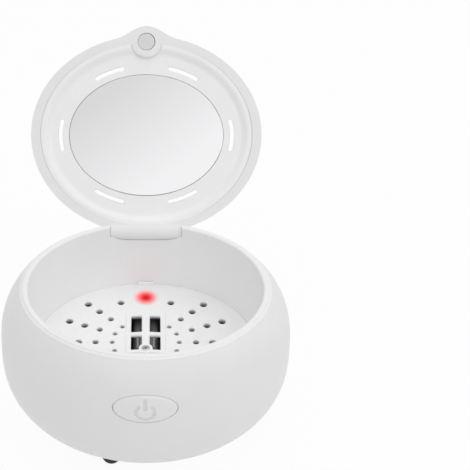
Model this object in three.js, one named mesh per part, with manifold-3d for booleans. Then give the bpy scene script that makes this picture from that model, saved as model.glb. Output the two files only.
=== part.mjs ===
// Hearing aid UV dryer box: a pebble-shaped drying bowl with a mirror lid.
// Millimetres, +Z up, front towards -Y. The origin is the centre of the flat underside.
import * as THREE from 'three';
import { mergeVertices } from 'three/addons/utils/BufferGeometryUtils.js';
import Module from 'manifold-3d';

const wasm = await Module();
wasm.setup();

// Pebble form of the housing and lid together
const halfWidth = 42;
const halfDepth = 36.6;
const bellyHeight = 24.8;
const baseDip = 3;
const lowerReach = bellyHeight + baseDip;
const lowerPower = 2.45;
const upperPower = 2.83;
const seamHeight = 46.9;
const lidRise = 8.4;
const upperReach = seamHeight + lidRise - bellyHeight;
const shellWall = 2;
const aroundCount = 40;
const hiddenCount = 28;
const smallCount = 12;
const fineCount = 8;

// General clearances
const overrun = 1;
const seamGap = 0.3;
const seatGap = 0.05;
const slipGap = 0.2;
const openGap = 0.3;

// Drying bowl
const rimWidth = 1.6;
const bowlWall = 1.4;
const bowlFloorSideInset = 10.1;
const bowlFloorEndInset = 9.2;
const flangeThickness = 0.7;
const rimRound = 0.45;
const trayThickness = 1.5;
const traySeatWidth = 2.4;
const wellClearance = 1.2;
const wellFloorThickness = 1.5;
const leadHoleRadius = 2.5;
const leadHoleEdge = 2.3;

// Tray plate and its pattern of holes
const trayGap = 0.25;
const trayHoleEdge = 2.6;
const trayHoleRadius = 1.16;
const trayHoleShares = [0.64, 0.81, 0.93, 1];
const trayRowStep = 22.5;
const fullRowShares = [0, 1, 2, -1, -2, 8, 7, 6, 9, 10];
const loneHoleShares = [3, 5, -3, -5];
const loneRing = 2;
const tabHalfWidth = 2.5;
const tabReach = 1.4;
const tabHeight = 1.2;

// Lamp window and grille
const windowBackInset = 2.6;
const windowFront = -3.45;
const windowHalfWidth = 4.3;
const midBarHalfWidth = 1.2;
const crossBarBack = 4.4;
const crossBarFront = 2.7;
const grilleRim = 1.5;
const grilleThickness = 0.9;
const grilleCrown = 0.45;
const screwBossRadius = 2.05;
const grilleScrewY = -3.1;
const grilleScrewHeadRadius = 1.25;
const grilleScrewHeadHeight = 0.8;
const grilleScrewRadius = 0.7;
const grilleScrewLength = 4.2;
const trayBossDepth = 2.9;

// Lamp, its holder and reflector
const lampTubeRadius = 1.6;
const lampLegSpread = 2.3;
const lampAboveHeater = 2.6;
const lampBelowTray = 1.7;
const lampFront = -4.4;
const holderDepth = 4.2;
const holderHalfWidth = 5;
const holderBelowTray = 0.7;
const reflectorHalfWidth = 6.4;
const reflectorFloorHalfWidth = 3.6;
const reflectorThickness = 0.5;
const reflectorRise = 3;
const reflectorFront = -8.5;

// Heater
const ptcHalfWidth = 11;
const ptcHalfDepth = 6;
const ptcHeight = 2;
const heaterSideMargin = 10.4;
const heaterFrontMargin = 7.6;
const heaterBackGap = 1;
const heaterThickness = 1.2;
const heaterCorner = 4;
const heaterPostRadius = 1.6;
const heaterPostInset = 2.6;

// Red indicator
const ledRadius = 1.5;
const ledFlangeRadius = 1.9;
const ledFlangeHeight = 0.9;
const ledInset = 6.55;
const ledBodyHeight = 4.6;
const ledSink = 0.2;
const ledLeadHalf = 0.25;
const ledLeadSpread = 1.27;

// Hinge
const hingeInset = 3.1;
const hingeDrop = 3.3;
const openAngle = 132;
const leafHalfWidth = 10.6;
const leafSideGap = 0.35;
const barrelRadius = 2.3;
const pinRadius = 0.7;
const pinRunGap = 0.1;
const pinHalfLength = 12.4;
const notchGap = 0.2;

// Lid
const lidWall = 1.6;
const lidPanelDepth = 1.25;
const coveWidth = 2.4;
const linerLand = 0.5;
const linerThickness = 1.2;
const mirrorMargin = 11.4;
const mirrorThickness = 1;
const mirrorPadThickness = 0.15;
const pocketFloor = 0.8;
const pocketRim = 1.2;
const slotMargin = 2.7;
const slotWidth = 1;
const sideSlotSweep = 11.6;
const cornerSlotCentre = 64.3;
const cornerSlotSweep = 9;
const tabRadius = 8;
const tabStandout = 3.15;
const tabFillet = 6;
const tabEdge = 1.1;
const tabRise = 3.6;
const magnetInset = 1.65;
const magnetRadius = 2.65;
const magnetThickness = 1.8;
const magnetBossRadius = 4.7;
const magnetBossRise = 3.4;

// Power button
const buttonDrop = 13.7;
const buttonHalfWidth = 9.1;
const buttonHalfHeight = 4.95;
const buttonProud = 0.3;
const buttonSkin = 1.4;
const buttonFlange = 0.8;
const buttonFlangeThickness = 0.7;
const buttonPostRadius = 1.6;
const buttonTravel = 0.5;
const switchBoardThickness = 0.8;
const switchBoardHalfWidth = 8;
const switchBoardHalfHeight = 4.2;
const switchBodyHalf = 2.2;
const switchBodyDepth = 0.9;
const switchPlungerRadius = 1.1;

// USB inlet
const portBelowTray = 1.55;
const portHalfWidth = 3.75;
const portHalfHeight = 1.25;
const portChamfer = 0.9;
const portDepth = 5.2;
const portWall = 0.3;
const portClear = 0.15;
const tongueHalfWidth = 1.9;
const tongueThickness = 0.6;
const tongueInset = 0.9;
const recessDrop = 0.95;
const recessHalfWidth = 5.8;
const recessHalfHeight = 3.25;
const recessCorner = 1.3;
const recessDepth = 1.2;
const usbBoardThickness = 1.2;
const usbBoardHalfWidth = 8;
const usbBoardBackInset = 2.4;
const usbBoardGap = 2;
const shelfWidth = 2.2;
const shelfHeight = 2.4;

// Lid sensor
const sensorRadius = 0.75;
const sensorHalfLength = 5;
const sensorRise = 2.35;

// Base cover, its screws and the main board
const coverMargin = 2.1;
const coverThickness = 2;
const coverLedge = 4.6;
const ledgeThickness = 1.8;
const baseScrewAngle = 45;
const baseBossRadius = 2.4;
const baseBossTop = 9;
const baseScrewRadius = 0.9;
const baseScrewHeadRadius = 1.6;
const baseScrewHeadHeight = 0.9;
const baseScrewLength = 6.5;
const standoffRadius = 2;
const standoffHeight = 2.5;
const boardSideMargin = 4.5;
const boardBossGap = 0.46;
const boardCorner = 1.5;
const boardThickness = 1.4;
const boardScrewSideInset = 5.5;
const boardScrewEndInset = 2.8;
const boardScrewRadius = 0.8;
const boardScrewHeadRadius = 1.5;
const boardScrewHeadHeight = 0.8;
const boardScrewLength = 3;
const partGap = 0.3;
const transformerHalfWidth = 4.6;
const transformerHalfDepth = 4;
const transformerHeight = 4.6;
const transformerYoke = 1;
const chipHalfWidth = 2.5;
const chipHalfDepth = 2;
const chipHeight = 1.5;
const capacitorRadius = 2.4;
const capacitorHeight = 4.8;

// Feet
const footSideOutset = 5.35;
const footEndOutset = 2.95;
const footFirstAngle = 70;
const footCount = 4;
const footRadius = 2.9;
const footProud = 1.2;
const footFlatRadius = 0.8;
const footSeat = 4;
const footPadRadius = 4.2;
const footPadThickness = 2.2;
const footNeckRadius = 1.2;
const footBarbRadius = 2;
const footBarbHeight = 1.5;

// Finishes
function finish(color, roughness, metalness = 0) {
  return new THREE.MeshStandardMaterial({ color, roughness, metalness });
}
const whiteShell = finish(0xededed, 0.45);
const whiteLiner = finish(0xe6e6e6, 0.5);
const whiteTray = finish(0xe4e4e4, 0.55);
const mirrorGlass = finish(0xdfe3e6, 0.04, 1);
const foamPad = finish(0x9a9a96, 0.95);
const darkGlass = finish(0x5a6066, 0.12);
const ceramic = finish(0xd8d2c4, 0.7);
const aluminium = finish(0xb9bcc0, 0.35, 1);
const steel = finish(0xa8abae, 0.3, 1);
const ptcStone = finish(0x6b655c, 0.8);
const redLens = finish(0xe01818, 0.25);
const boardGreen = finish(0x1f5a38, 0.6);
const blackPlastic = finish(0x1c1c1e, 0.5);
const copper = finish(0x9c5a32, 0.4, 1);
const blackRubber = finish(0x161616, 0.85);

// Turning between geometry and solids
function solid(geometry) {
  const bare = geometry.index ? geometry.toNonIndexed() : geometry.clone();
  bare.deleteAttribute('normal');
  bare.deleteAttribute('uv');
  const merged = mergeVertices(bare, 1e-4);
  return new wasm.Manifold(new wasm.Mesh({
    numProp: 3,
    vertProperties: new Float32Array(merged.attributes.position.array),
    triVerts: new Uint32Array(merged.index.array),
  }));
}

function toGeometry(made) {
  const mesh = made.getMesh();
  const geometry = new THREE.BufferGeometry();
  geometry.setAttribute('position', new THREE.BufferAttribute(mesh.vertProperties, mesh.numProp));
  geometry.setIndex(new THREE.BufferAttribute(mesh.triVerts, 1));
  geometry.computeVertexNormals();
  return geometry;
}

function cut(body, ...tools) {
  return tools.reduce((left, tool) => left.subtract(tool), body);
}

function join(body, ...others) {
  return others.reduce((sum, other) => sum.add(other), body);
}

// Basic solids
function boxBetween(low, high) {
  const size = high.map((value, axis) => value - low[axis]);
  const middle = high.map((value, axis) => (value + low[axis]) / 2);
  return solid(new THREE.BoxGeometry(...size).translate(...middle));
}

function rod(radius, low, high, x = 0, y = 0, sides = 24) {
  const geometry = new THREE.CylinderGeometry(radius, radius, high - low, sides);
  geometry.rotateX(Math.PI / 2);
  geometry.translate(x, y, (low + high) / 2);
  return solid(geometry);
}

function rodAlongX(radius, low, high, y, z, sides = 24) {
  const geometry = new THREE.CylinderGeometry(radius, radius, high - low, sides);
  geometry.rotateZ(Math.PI / 2);
  geometry.translate((low + high) / 2, y, z);
  return solid(geometry);
}

function rodAlongY(radius, low, high, x, z, sides = 24) {
  const geometry = new THREE.CylinderGeometry(radius, radius, high - low, sides);
  geometry.translate(x, (low + high) / 2, z);
  return solid(geometry);
}

function turned(profile, x, y, sides = 24) {
  const points = profile.map(([radius, height]) => new THREE.Vector2(radius, height));
  const geometry = new THREE.LatheGeometry(points, sides);
  geometry.rotateX(Math.PI / 2);
  geometry.translate(x, y, 0);
  return solid(geometry);
}

function ovalShape(halfX, halfY) {
  const shape = new THREE.Shape();
  shape.absellipse(0, 0, halfX, halfY, 0, Math.PI * 2);
  return shape;
}

function roundedShape(left, right, low, high, corner) {
  const shape = new THREE.Shape();
  shape.moveTo(left + corner, low);
  shape.lineTo(right - corner, low);
  shape.absarc(right - corner, low + corner, corner, -Math.PI / 2, 0);
  shape.lineTo(right, high - corner);
  shape.absarc(right - corner, high - corner, corner, 0, Math.PI / 2);
  shape.lineTo(left + corner, high);
  shape.absarc(left + corner, high - corner, corner, Math.PI / 2, Math.PI);
  shape.lineTo(left, low + corner);
  shape.absarc(left + corner, low + corner, corner, Math.PI, Math.PI * 1.5);
  return shape;
}

// A shape drawn in X and Y, raised from low to high.
function prism(shape, low, high, curveSegments = 12) {
  const geometry = new THREE.ExtrudeGeometry(shape, { depth: high - low, bevelEnabled: false, curveSegments });
  geometry.translate(0, 0, low);
  return solid(geometry);
}

// A shape drawn in X and Z, pushed along Y from front to back.
function prismAlongY(shape, front, back, curveSegments = 12) {
  const geometry = new THREE.ExtrudeGeometry(shape, { depth: back - front, bevelEnabled: false, curveSegments });
  geometry.rotateX(Math.PI / 2);
  geometry.translate(0, back, 0);
  return solid(geometry);
}

// Oval rings stacked in order, each [half width, half depth, height], with a flat end at each end.
function ringSolid(rings, sides = aroundCount) {
  const positions = [];
  const indices = [];
  rings.forEach(([ringHalfWidth, ringHalfDepth, height]) => {
    for (let step = 0; step < sides; step += 1) {
      const angle = (step / sides) * Math.PI * 2;
      positions.push(ringHalfWidth * Math.cos(angle), ringHalfDepth * Math.sin(angle), height);
    }
  });
  for (let band = 0; band < rings.length - 1; band += 1) {
    const lower = band * sides;
    const upper = lower + sides;
    for (let step = 0; step < sides; step += 1) {
      const next = (step + 1) % sides;
      indices.push(lower + step, lower + next, upper + next);
      indices.push(lower + step, upper + next, upper + step);
    }
  }
  const last = (rings.length - 1) * sides;
  const bottomCentre = positions.length / 3;
  const topCentre = bottomCentre + 1;
  positions.push(0, 0, rings[0][2]);
  positions.push(0, 0, rings[rings.length - 1][2]);
  for (let step = 0; step < sides; step += 1) {
    const next = (step + 1) % sides;
    indices.push(bottomCentre, next, step);
    indices.push(topCentre, last + step, last + next);
  }
  const geometry = new THREE.BufferGeometry();
  geometry.setAttribute('position', new THREE.BufferAttribute(new Float32Array(positions), 3));
  geometry.setIndex(indices);
  return solid(geometry);
}

// The pebble's section at a height, set in from the outside all round.
function pebbleShare(height, inset = 0) {
  const below = height < bellyHeight;
  const reach = (below ? lowerReach : upperReach) - inset;
  const power = below ? lowerPower : upperPower;
  const climb = Math.min(Math.abs(height - bellyHeight) / reach, 1);
  return (1 - climb ** power) ** (1 / power);
}

function pebbleRing(height, inset = 0) {
  const share = pebbleShare(height, inset);
  return [(halfWidth - inset) * share, (halfDepth - inset) * share, height];
}

// Heights between two levels, closer together where the pebble curves in.
function pebbleHeights(low, high, inset, count) {
  const angleAt = (height) => {
    const below = height < bellyHeight;
    const reach = (below ? lowerReach : upperReach) - inset;
    const power = below ? lowerPower : upperPower;
    const climb = Math.min(Math.abs(height - bellyHeight) / reach, 1);
    return Math.asin(climb ** (power / 2)) * (below ? -1 : 1);
  };
  const heightAt = (angle) => {
    const reach = (angle < 0 ? lowerReach : upperReach) - inset;
    const power = angle < 0 ? lowerPower : upperPower;
    return bellyHeight + Math.sign(angle) * reach * Math.abs(Math.sin(angle)) ** (2 / power);
  };
  const start = angleAt(low);
  const end = angleAt(high);
  const heights = [];
  for (let step = 1; step < count; step += 1) {
    heights.push(heightAt(start + ((end - start) * step) / count));
  }
  return [low, ...heights, high];
}

function pebble(low, high, inset = 0, count = 14, sides = aroundCount) {
  return ringSolid(pebbleHeights(low, high, inset, count).map((height) => pebbleRing(height, inset)), sides);
}

// Half depth of the pebble on its middle plane
function pebbleReachY(height, inset = 0) {
  return pebbleRing(height, inset)[1];
}

function radians(degrees) {
  return THREE.MathUtils.degToRad(degrees);
}

// Places that several pieces share
const [seamHalfWidth, seamHalfDepth] = pebbleRing(seamHeight);
const rimHalfWidth = seamHalfWidth - rimWidth;
const rimHalfDepth = seamHalfDepth - rimWidth;
const flangeBottom = seamHeight - flangeThickness;
const lidPlane = seamHeight + seamGap;
const ledgeBottom = coverThickness + seatGap;
const ledgeTop = ledgeBottom + ledgeThickness;
const boardBottom = coverThickness + standoffHeight + seatGap;
const boardTop = boardBottom + boardThickness;
const tallestPart = Math.max(capacitorHeight, transformerHeight, chipHeight);
const bowlBottom = boardTop + seatGap + tallestPart + wellClearance;
const wellFloorTop = bowlBottom + wellFloorThickness;
const heaterBottom = wellFloorTop + ptcHeight + 2 * seatGap;
const heaterTop = heaterBottom + heaterThickness;
const lampHeight = heaterTop + lampAboveHeater + lampTubeRadius;
const trayBottom = lampHeight + lampTubeRadius + lampBelowTray;
const trayTopHeight = trayBottom + trayThickness;
const holderTop = trayBottom - holderBelowTray;
const portHeight = trayBottom - portBelowTray;
const recessHeight = portHeight - recessDrop;
const recessFloorY = halfDepth - recessDepth;
const usbBoardBack = recessFloorY - usbBoardBackInset;
const buttonHeight = seamHeight - buttonDrop;
const sensorHeight = buttonHeight + switchBoardHalfHeight + sensorRise + sensorRadius;

// Inside of the bowl at a height, with the wall leaning in towards the tray
function bowlInside(height) {
  const depthShare = (seamHeight - height) / (seamHeight - trayTopHeight);
  return [
    rimHalfWidth + (halfWidth - bowlFloorSideInset - rimHalfWidth) * depthShare,
    rimHalfDepth + (halfDepth - bowlFloorEndInset - rimHalfDepth) * depthShare,
    height,
  ];
}

function grown([ringHalfWidth, ringHalfDepth, height], amount) {
  return [ringHalfWidth + amount, ringHalfDepth + amount, height];
}

function atHeight([ringHalfWidth, ringHalfDepth], height) {
  return [ringHalfWidth, ringHalfDepth, height];
}

const wellInside = grown(bowlInside(trayBottom), -traySeatWidth);
const usbBoardFront = wellInside[1] + bowlWall + usbBoardGap;
const [trayHalfWidth, trayHalfDepth] = grown(bowlInside(trayTopHeight), -trayGap);
const ringPitch = (trayHalfDepth - trayHoleEdge) / (trayHoleShares.length + 1);
const ledY = trayHalfDepth - ledInset;
const holderBack = ledY - ledFlangeRadius - openGap;
const holderFront = holderBack - holderDepth;
const windowBack = holderFront - windowBackInset;
const leadHoleY = -(wellInside[1] - leadHoleRadius - leadHoleEdge);
const heaterHalfWidth = wellInside[0] - heaterSideMargin;
const heaterFront = -(wellInside[1] - heaterFrontMargin);
const heaterBack = holderFront - heaterBackGap;
const hingeHeight = seamHeight - hingeDrop;
const hingeY = pebbleReachY(hingeHeight) - hingeInset;
const [lidHalfWidth, lidHalfDepth] = pebbleRing(lidPlane);
const lidCorner = new THREE.Vector2(lidHalfDepth - hingeY, lidPlane - hingeHeight);
lidCorner.rotateAround(new THREE.Vector2(), -radians(openAngle));
const notchFloor = hingeHeight - Math.max(barrelRadius, -lidCorner.y) - notchGap;
const mirrorHalfWidth = lidHalfWidth - mirrorMargin;
const mirrorHalfDepth = lidHalfDepth - mirrorMargin;
const slotHalfWidth = mirrorHalfWidth + slotMargin;
const slotHalfDepth = mirrorHalfDepth + slotMargin;
const tabFront = lidHalfDepth + tabStandout;
const magnetY = magnetInset - lidHalfDepth;
const [baseHalfWidth, baseHalfDepth] = pebbleRing(0);
const coverHalfWidth = baseHalfWidth - coverMargin;
const coverHalfDepth = baseHalfDepth - coverMargin;
const boardHalfWidth = coverHalfWidth - boardSideMargin;
const screwOval = [coverHalfWidth - coverLedge / 2, coverHalfDepth - coverLedge / 2];
const boardHalfDepth = screwOval[1] * Math.sin(radians(baseScrewAngle)) - baseBossRadius - boardBossGap;
const boardScrewX = boardHalfWidth - boardScrewSideInset;
const boardScrewY = boardHalfDepth - boardScrewEndInset;
const transformerY = transformerHalfDepth + partGap - boardHalfDepth;
const smallPartsFront = transformerY + transformerHalfDepth + partGap;

const sensorY = -bowlInside(sensorHeight)[1] - bowlWall - seatGap - sensorRadius;

// Outside of the bowl below its flange, grown by a clearance
function bowlOutside(clearance) {
  return ringSolid([
    atHeight(grown(wellInside, bowlWall + clearance), bowlBottom - clearance),
    atHeight(grown(wellInside, bowlWall + clearance), trayBottom - bowlWall - clearance),
    grown(bowlInside(trayBottom), bowlWall + clearance),
    grown(bowlInside(seamHeight), bowlWall + clearance),
    atHeight(grown(bowlInside(seamHeight), bowlWall + clearance), seamHeight + overrun),
  ]);
}

function hingeNotch() {
  const side = leafHalfWidth + leafSideGap;
  return boxBetween([-side, rimHalfDepth / 2, notchFloor], [side, halfDepth + overrun, seamHeight + overrun]);
}

// Where the feet and the base screws stand
const footPlaces = [];
for (let index = 0; index < footCount; index += 1) {
  const angle = radians(footFirstAngle + (index * 360) / footCount);
  footPlaces.push([
    (baseHalfWidth + footSideOutset) * Math.cos(angle), (baseHalfDepth + footEndOutset) * Math.sin(angle)]);
}
const baseScrewPlaces = [];
for (let index = 0; index < footCount; index += 1) {
  const angle = radians(baseScrewAngle + (index * 360) / footCount);
  baseScrewPlaces.push([screwOval[0] * Math.cos(angle), screwOval[1] * Math.sin(angle)]);
}
const boardScrewPlaces = [[-boardScrewX, boardScrewY], [boardScrewX, -boardScrewY]];

// The USB mouth: a trapezoid with its lower corners cut off
function portShape(growth) {
  const side = portHalfWidth + growth;
  const rise = portHalfHeight + growth;
  const shape = new THREE.Shape();
  shape.moveTo(-side + portChamfer, -rise);
  shape.lineTo(side - portChamfer, -rise);
  shape.lineTo(side, -rise + portChamfer);
  shape.lineTo(side, rise);
  shape.lineTo(-side, rise);
  shape.lineTo(-side, -rise + portChamfer);
  return shape;
}

function portPrism(growth, front, back) {
  return moved(prismAlongY(portShape(growth), front, back), 0, 0, portHeight);
}

function moved(made, x, y, z) {
  return solid(toGeometry(made).translate(x, y, z));
}

function buttonOval(growth, front, back) {
  const shape = ovalShape(buttonHalfWidth + growth, buttonHalfHeight + growth);
  return moved(prismAlongY(shape, front, back, smallCount), 0, 0, buttonHeight);
}

// Housing pieces
function outerShell() {
  const footBarbRoomTop = footSeat + footPadThickness + footBarbHeight + openGap;
  const outside = pebble(0, flangeBottom - seatGap, 0, 10);
  const hollow = pebble(ledgeTop, flangeBottom + overrun, shellWall, 7, hiddenCount);
  const pads = footPlaces.map(([x, y]) => rod(
    footPadRadius, footSeat, footSeat + footPadThickness, x, y, smallCount));
  const bosses = baseScrewPlaces.map(([x, y]) => rod(baseBossRadius, ledgeBottom, baseBossTop, x, y, fineCount));
  const ledgeHole = prism(
    ovalShape(coverHalfWidth - coverLedge, coverHalfDepth - coverLedge), -overrun, ledgeTop + overrun, 12);
  const coverRebate = prism(
    ovalShape(coverHalfWidth + slipGap, coverHalfDepth + slipGap), -overrun, ledgeBottom, 12);
  const wall = cut(outside, hollow, ledgeHole, coverRebate, bowlOutside(openGap));
  const padded = join(wall, ...pads.map((pad) => pad.intersect(outside)), ...bosses);
  const footHoles = footPlaces.flatMap(([x, y]) => [
    rod(footRadius + slipGap, -footProud - overrun, footSeat, x, y, smallCount),
    rod(footNeckRadius + seatGap, footSeat - overrun, footSeat + footPadThickness + overrun, x, y, smallCount),
    rod(footBarbRadius + openGap, footSeat + footPadThickness, footBarbRoomTop, x, y, smallCount),
  ]);
  const sensorRoom = rodAlongX(
    sensorRadius + openGap, -sensorHalfLength - openGap, sensorHalfLength + openGap, sensorY, sensorHeight, fineCount);
  const pilots = baseScrewPlaces.map(([x, y]) => rod(
    baseScrewRadius + seatGap, 0, baseScrewHeadHeight + baseScrewLength + openGap, x, y, fineCount));
  const buttonHole = buttonOval(slipGap, -halfDepth - overrun, -halfDepth / 2);
  const recess = moved(
    prismAlongY(
      roundedShape(-recessHalfWidth, recessHalfWidth, -recessHalfHeight, recessHalfHeight, recessCorner),
      recessFloorY, halfDepth + overrun, 4),
    0, 0, recessHeight);
  const mouth = portPrism(portClear, halfDepth / 2, halfDepth + overrun);
  const pinHole = rodAlongX(
    pinRadius + seatGap, -pinHalfLength - seatGap, pinHalfLength + seatGap, hingeY, hingeHeight, smallCount);
  return cut(padded, ...footHoles, ...pilots, sensorRoom, buttonHole, recess, mouth, hingeNotch(), pinHole);
}

function innerBowl() {
  const outside = bowlOutside(0);
  const top = ringSolid([pebbleRing(flangeBottom), pebbleRing(seamHeight)]);
  const mouth = bowlInside(seamHeight);
  const shaft = ringSolid([
    atHeight(wellInside, wellFloorTop),
    atHeight(wellInside, trayBottom),
    atHeight(bowlInside(trayBottom), trayBottom + seatGap / 2),
    atHeight(mouth, seamHeight - rimRound),
    atHeight(grown(mouth, rimRound / 3), seamHeight - rimRound / 3),
    atHeight(grown(mouth, rimRound), seamHeight + overrun),
  ]);
  const trimmed = outside.intersect(pebble(0, seamHeight, 0, 9));
  const upper = cut(
    trimmed,
    ringSolid([
      atHeight([halfWidth, halfDepth], flangeBottom),
      atHeight([halfWidth, halfDepth], seamHeight + overrun),
    ]));
  const leadHole = rod(leadHoleRadius, bowlBottom - overrun, wellFloorTop + overrun, 0, leadHoleY);
  const shelves = [-1, 1].map((side) => {
    const outer = side * usbBoardHalfWidth;
    const inner = side * (usbBoardHalfWidth - shelfWidth);
    const top = portHeight - portHalfHeight - seatGap - usbBoardThickness - seatGap;
    return boxBetween(
      [Math.min(inner, outer), wellInside[1] / 2, top - shelfHeight],
      [Math.max(inner, outer), usbBoardBack - slipGap, top]);
  });
  const posts = heaterPosts().map(([x, y]) => rod(
    heaterPostRadius, wellFloorTop - wellFloorThickness / 2, heaterBottom - seatGap, x, y, fineCount));
  const hollowed = cut(join(upper, top, ...shelves), shaft, leadHole);
  return cut(join(hollowed, ...posts), hingeNotch());
}

function heaterPosts() {
  const side = heaterHalfWidth - heaterPostInset;
  const front = heaterFront + heaterPostInset;
  const back = heaterBack - heaterPostInset;
  return [[-side, front], [side, front], [-side, back], [side, back]];
}

function trayPlate() {
  const plate = ringSolid([
    atHeight(grown(bowlInside(trayBottom), -trayGap), trayBottom + seatGap),
    [trayHalfWidth, trayHalfDepth, trayTopHeight],
  ]);
  const holes = [];
  const drill = (angle, ring) => {
    const reach = ringPitch * (ring + 2);
    holes.push(rod(
      trayHoleRadius * trayHoleShares[ring], trayBottom - overrun, trayTopHeight + overrun,
      reach * Math.cos(radians(angle)), reach * Math.sin(radians(angle)), fineCount));
  };
  fullRowShares.forEach((row) => trayHoleShares.forEach((_, ring) => drill(row * trayRowStep, ring)));
  loneHoleShares.forEach((row) => drill(row * trayRowStep, loneRing));
  const lip = trayTopHeight - grilleThickness;
  const rebate = boxBetween(
    [-windowHalfWidth - grilleRim - slipGap, windowFront - grilleRim - slipGap, lip],
    [windowHalfWidth + grilleRim + slipGap, windowBack + grilleRim + slipGap, trayTopHeight + overrun]);
  const opening = boxBetween(
    [-windowHalfWidth, windowFront, trayBottom - overrun], [windowHalfWidth, windowBack, trayTopHeight + overrun]);
  const boss = rod(screwBossRadius, trayTopHeight - trayBossDepth, lip, 0, grilleScrewY);
  const pilot = rod(
    grilleScrewRadius + seatGap, trayTopHeight - trayBossDepth - overrun, trayTopHeight + overrun,
    0, grilleScrewY, fineCount);
  const ledHole = rod(ledRadius + slipGap, trayBottom - overrun, trayTopHeight + overrun, 0, ledY);
  const tab = boxBetween(
    [-tabHalfWidth, trayHalfDepth - tabReach, trayTopHeight - trayThickness / 2],
    [tabHalfWidth, trayHalfDepth - seatGap, trayTopHeight + tabHeight]);
  return cut(join(cut(plate, rebate, opening), boss, tab), pilot, ledHole, ...holes);
}

function lampGrille() {
  const side = windowHalfWidth + grilleRim;
  const low = trayTopHeight - grilleThickness + seatGap;
  const arch = new THREE.Shape();
  const bow = (side * side) / (2 * grilleCrown) + grilleCrown / 2;
  const spread = Math.asin(side / bow);
  arch.moveTo(-side, low);
  arch.lineTo(side, low);
  arch.lineTo(side, trayTopHeight);
  arch.absarc(0, trayTopHeight + grilleCrown - bow, bow, Math.PI / 2 - spread, Math.PI / 2 + spread);
  const slab = prismAlongY(arch, windowFront - grilleRim, windowBack + grilleRim, 6);
  const windows = [[windowFront, crossBarFront], [crossBarBack, windowBack]].flatMap(([front, back]) => [
    boxBetween([-windowHalfWidth, front, low - overrun], [-midBarHalfWidth, back, trayTopHeight + overrun]),
    boxBetween([midBarHalfWidth, front, low - overrun], [windowHalfWidth, back, trayTopHeight + overrun]),
  ]);
  const boss = rod(screwBossRadius, low, trayTopHeight + grilleCrown, 0, grilleScrewY);
  const hole = rod(grilleScrewRadius + slipGap, low - overrun, trayTopHeight + overrun, 0, grilleScrewY, fineCount);
  const headSeat = rod(
    grilleScrewHeadRadius + slipGap, trayTopHeight + grilleCrown - grilleScrewHeadHeight,
    trayTopHeight + overrun, 0, grilleScrewY);
  return cut(join(cut(slab, ...windows), boss), hole, headSeat);
}

// A screw with its head up or down: the head's seat at one height and the tip at another.
function screw(x, y, headSeat, headRadius, headHeight, shankRadius, shankLength, pointsUp = false) {
  const way = pointsUp ? 1 : -1;
  const head = [headSeat, headSeat - way * headHeight].sort((a, b) => a - b);
  const shank = [headSeat - way * (headHeight / 2), headSeat + way * shankLength].sort((a, b) => a - b);
  return join(rod(headRadius, ...head, x, y, smallCount), rod(shankRadius, ...shank, x, y, fineCount));
}

function grilleScrew() {
  const seat = trayTopHeight + grilleCrown - grilleScrewHeadHeight + seatGap;
  return screw(
    0, grilleScrewY, seat, grilleScrewHeadRadius, grilleScrewHeadHeight - seatGap,
    grilleScrewRadius, trayBossDepth - grilleScrewHeadHeight);
}

// Lamp: a U-shaped quartz tube lying on its side under the window
class LampCurve extends THREE.Curve {
  getPoint(share, target = new THREE.Vector3()) {
    const leg = holderFront - openGap - (lampFront + lampLegSpread);
    const bend = Math.PI * lampLegSpread;
    const along = share * (2 * leg + bend);
    if (along < leg) return target.set(lampLegSpread, holderFront - openGap - along, lampHeight);
    if (along > leg + bend) {
      return target.set(-lampLegSpread, lampFront + lampLegSpread + (along - leg - bend), lampHeight);
    }
    const angle = (along - leg) / lampLegSpread;
    return target.set(
      lampLegSpread * Math.cos(angle), lampFront + lampLegSpread - lampLegSpread * Math.sin(angle), lampHeight);
  }
}

function uvLamp() {
  const section = new THREE.Shape();
  section.absarc(0, 0, lampTubeRadius, 0, Math.PI * 2);
  return solid(new THREE.ExtrudeGeometry(section, {
    extrudePath: new LampCurve(), steps: 22, curveSegments: 4, bevelEnabled: false,
  }));
}

function lampHolder() {
  const block = prism(
    roundedShape(-holderHalfWidth, holderHalfWidth, holderFront, holderBack, lampTubeRadius / 2),
    wellFloorTop + seatGap, holderTop, 2);
  const reliefs = [-1, 1].map((side) => rodAlongY(
    lampTubeRadius / 2, holderBack - lampTubeRadius, holderBack + overrun,
    side * lampLegSpread, lampHeight, fineCount));
  return cut(block, ...reliefs);
}

function lampReflector() {
  const low = heaterTop + seatGap;
  const inner = reflectorFloorHalfWidth;
  const outer = reflectorHalfWidth;
  const shape = new THREE.Shape();
  shape.moveTo(-outer, low + reflectorRise);
  shape.lineTo(-inner, low);
  shape.lineTo(inner, low);
  shape.lineTo(outer, low + reflectorRise);
  shape.lineTo(outer, low + reflectorRise + reflectorThickness);
  shape.lineTo(inner, low + reflectorThickness);
  shape.lineTo(-inner, low + reflectorThickness);
  shape.lineTo(-outer, low + reflectorRise + reflectorThickness);
  return prismAlongY(shape, reflectorFront, holderFront - openGap);
}

function ptcElement() {
  return prism(
    roundedShape(-ptcHalfWidth, ptcHalfWidth, -ptcHalfDepth, ptcHalfDepth, ptcHeight / 2),
    wellFloorTop + seatGap, wellFloorTop + seatGap + ptcHeight, 3);
}

function heaterPlate() {
  return prism(
    roundedShape(-heaterHalfWidth, heaterHalfWidth, heaterFront, heaterBack, heaterCorner),
    heaterBottom, heaterTop, 3);
}

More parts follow.
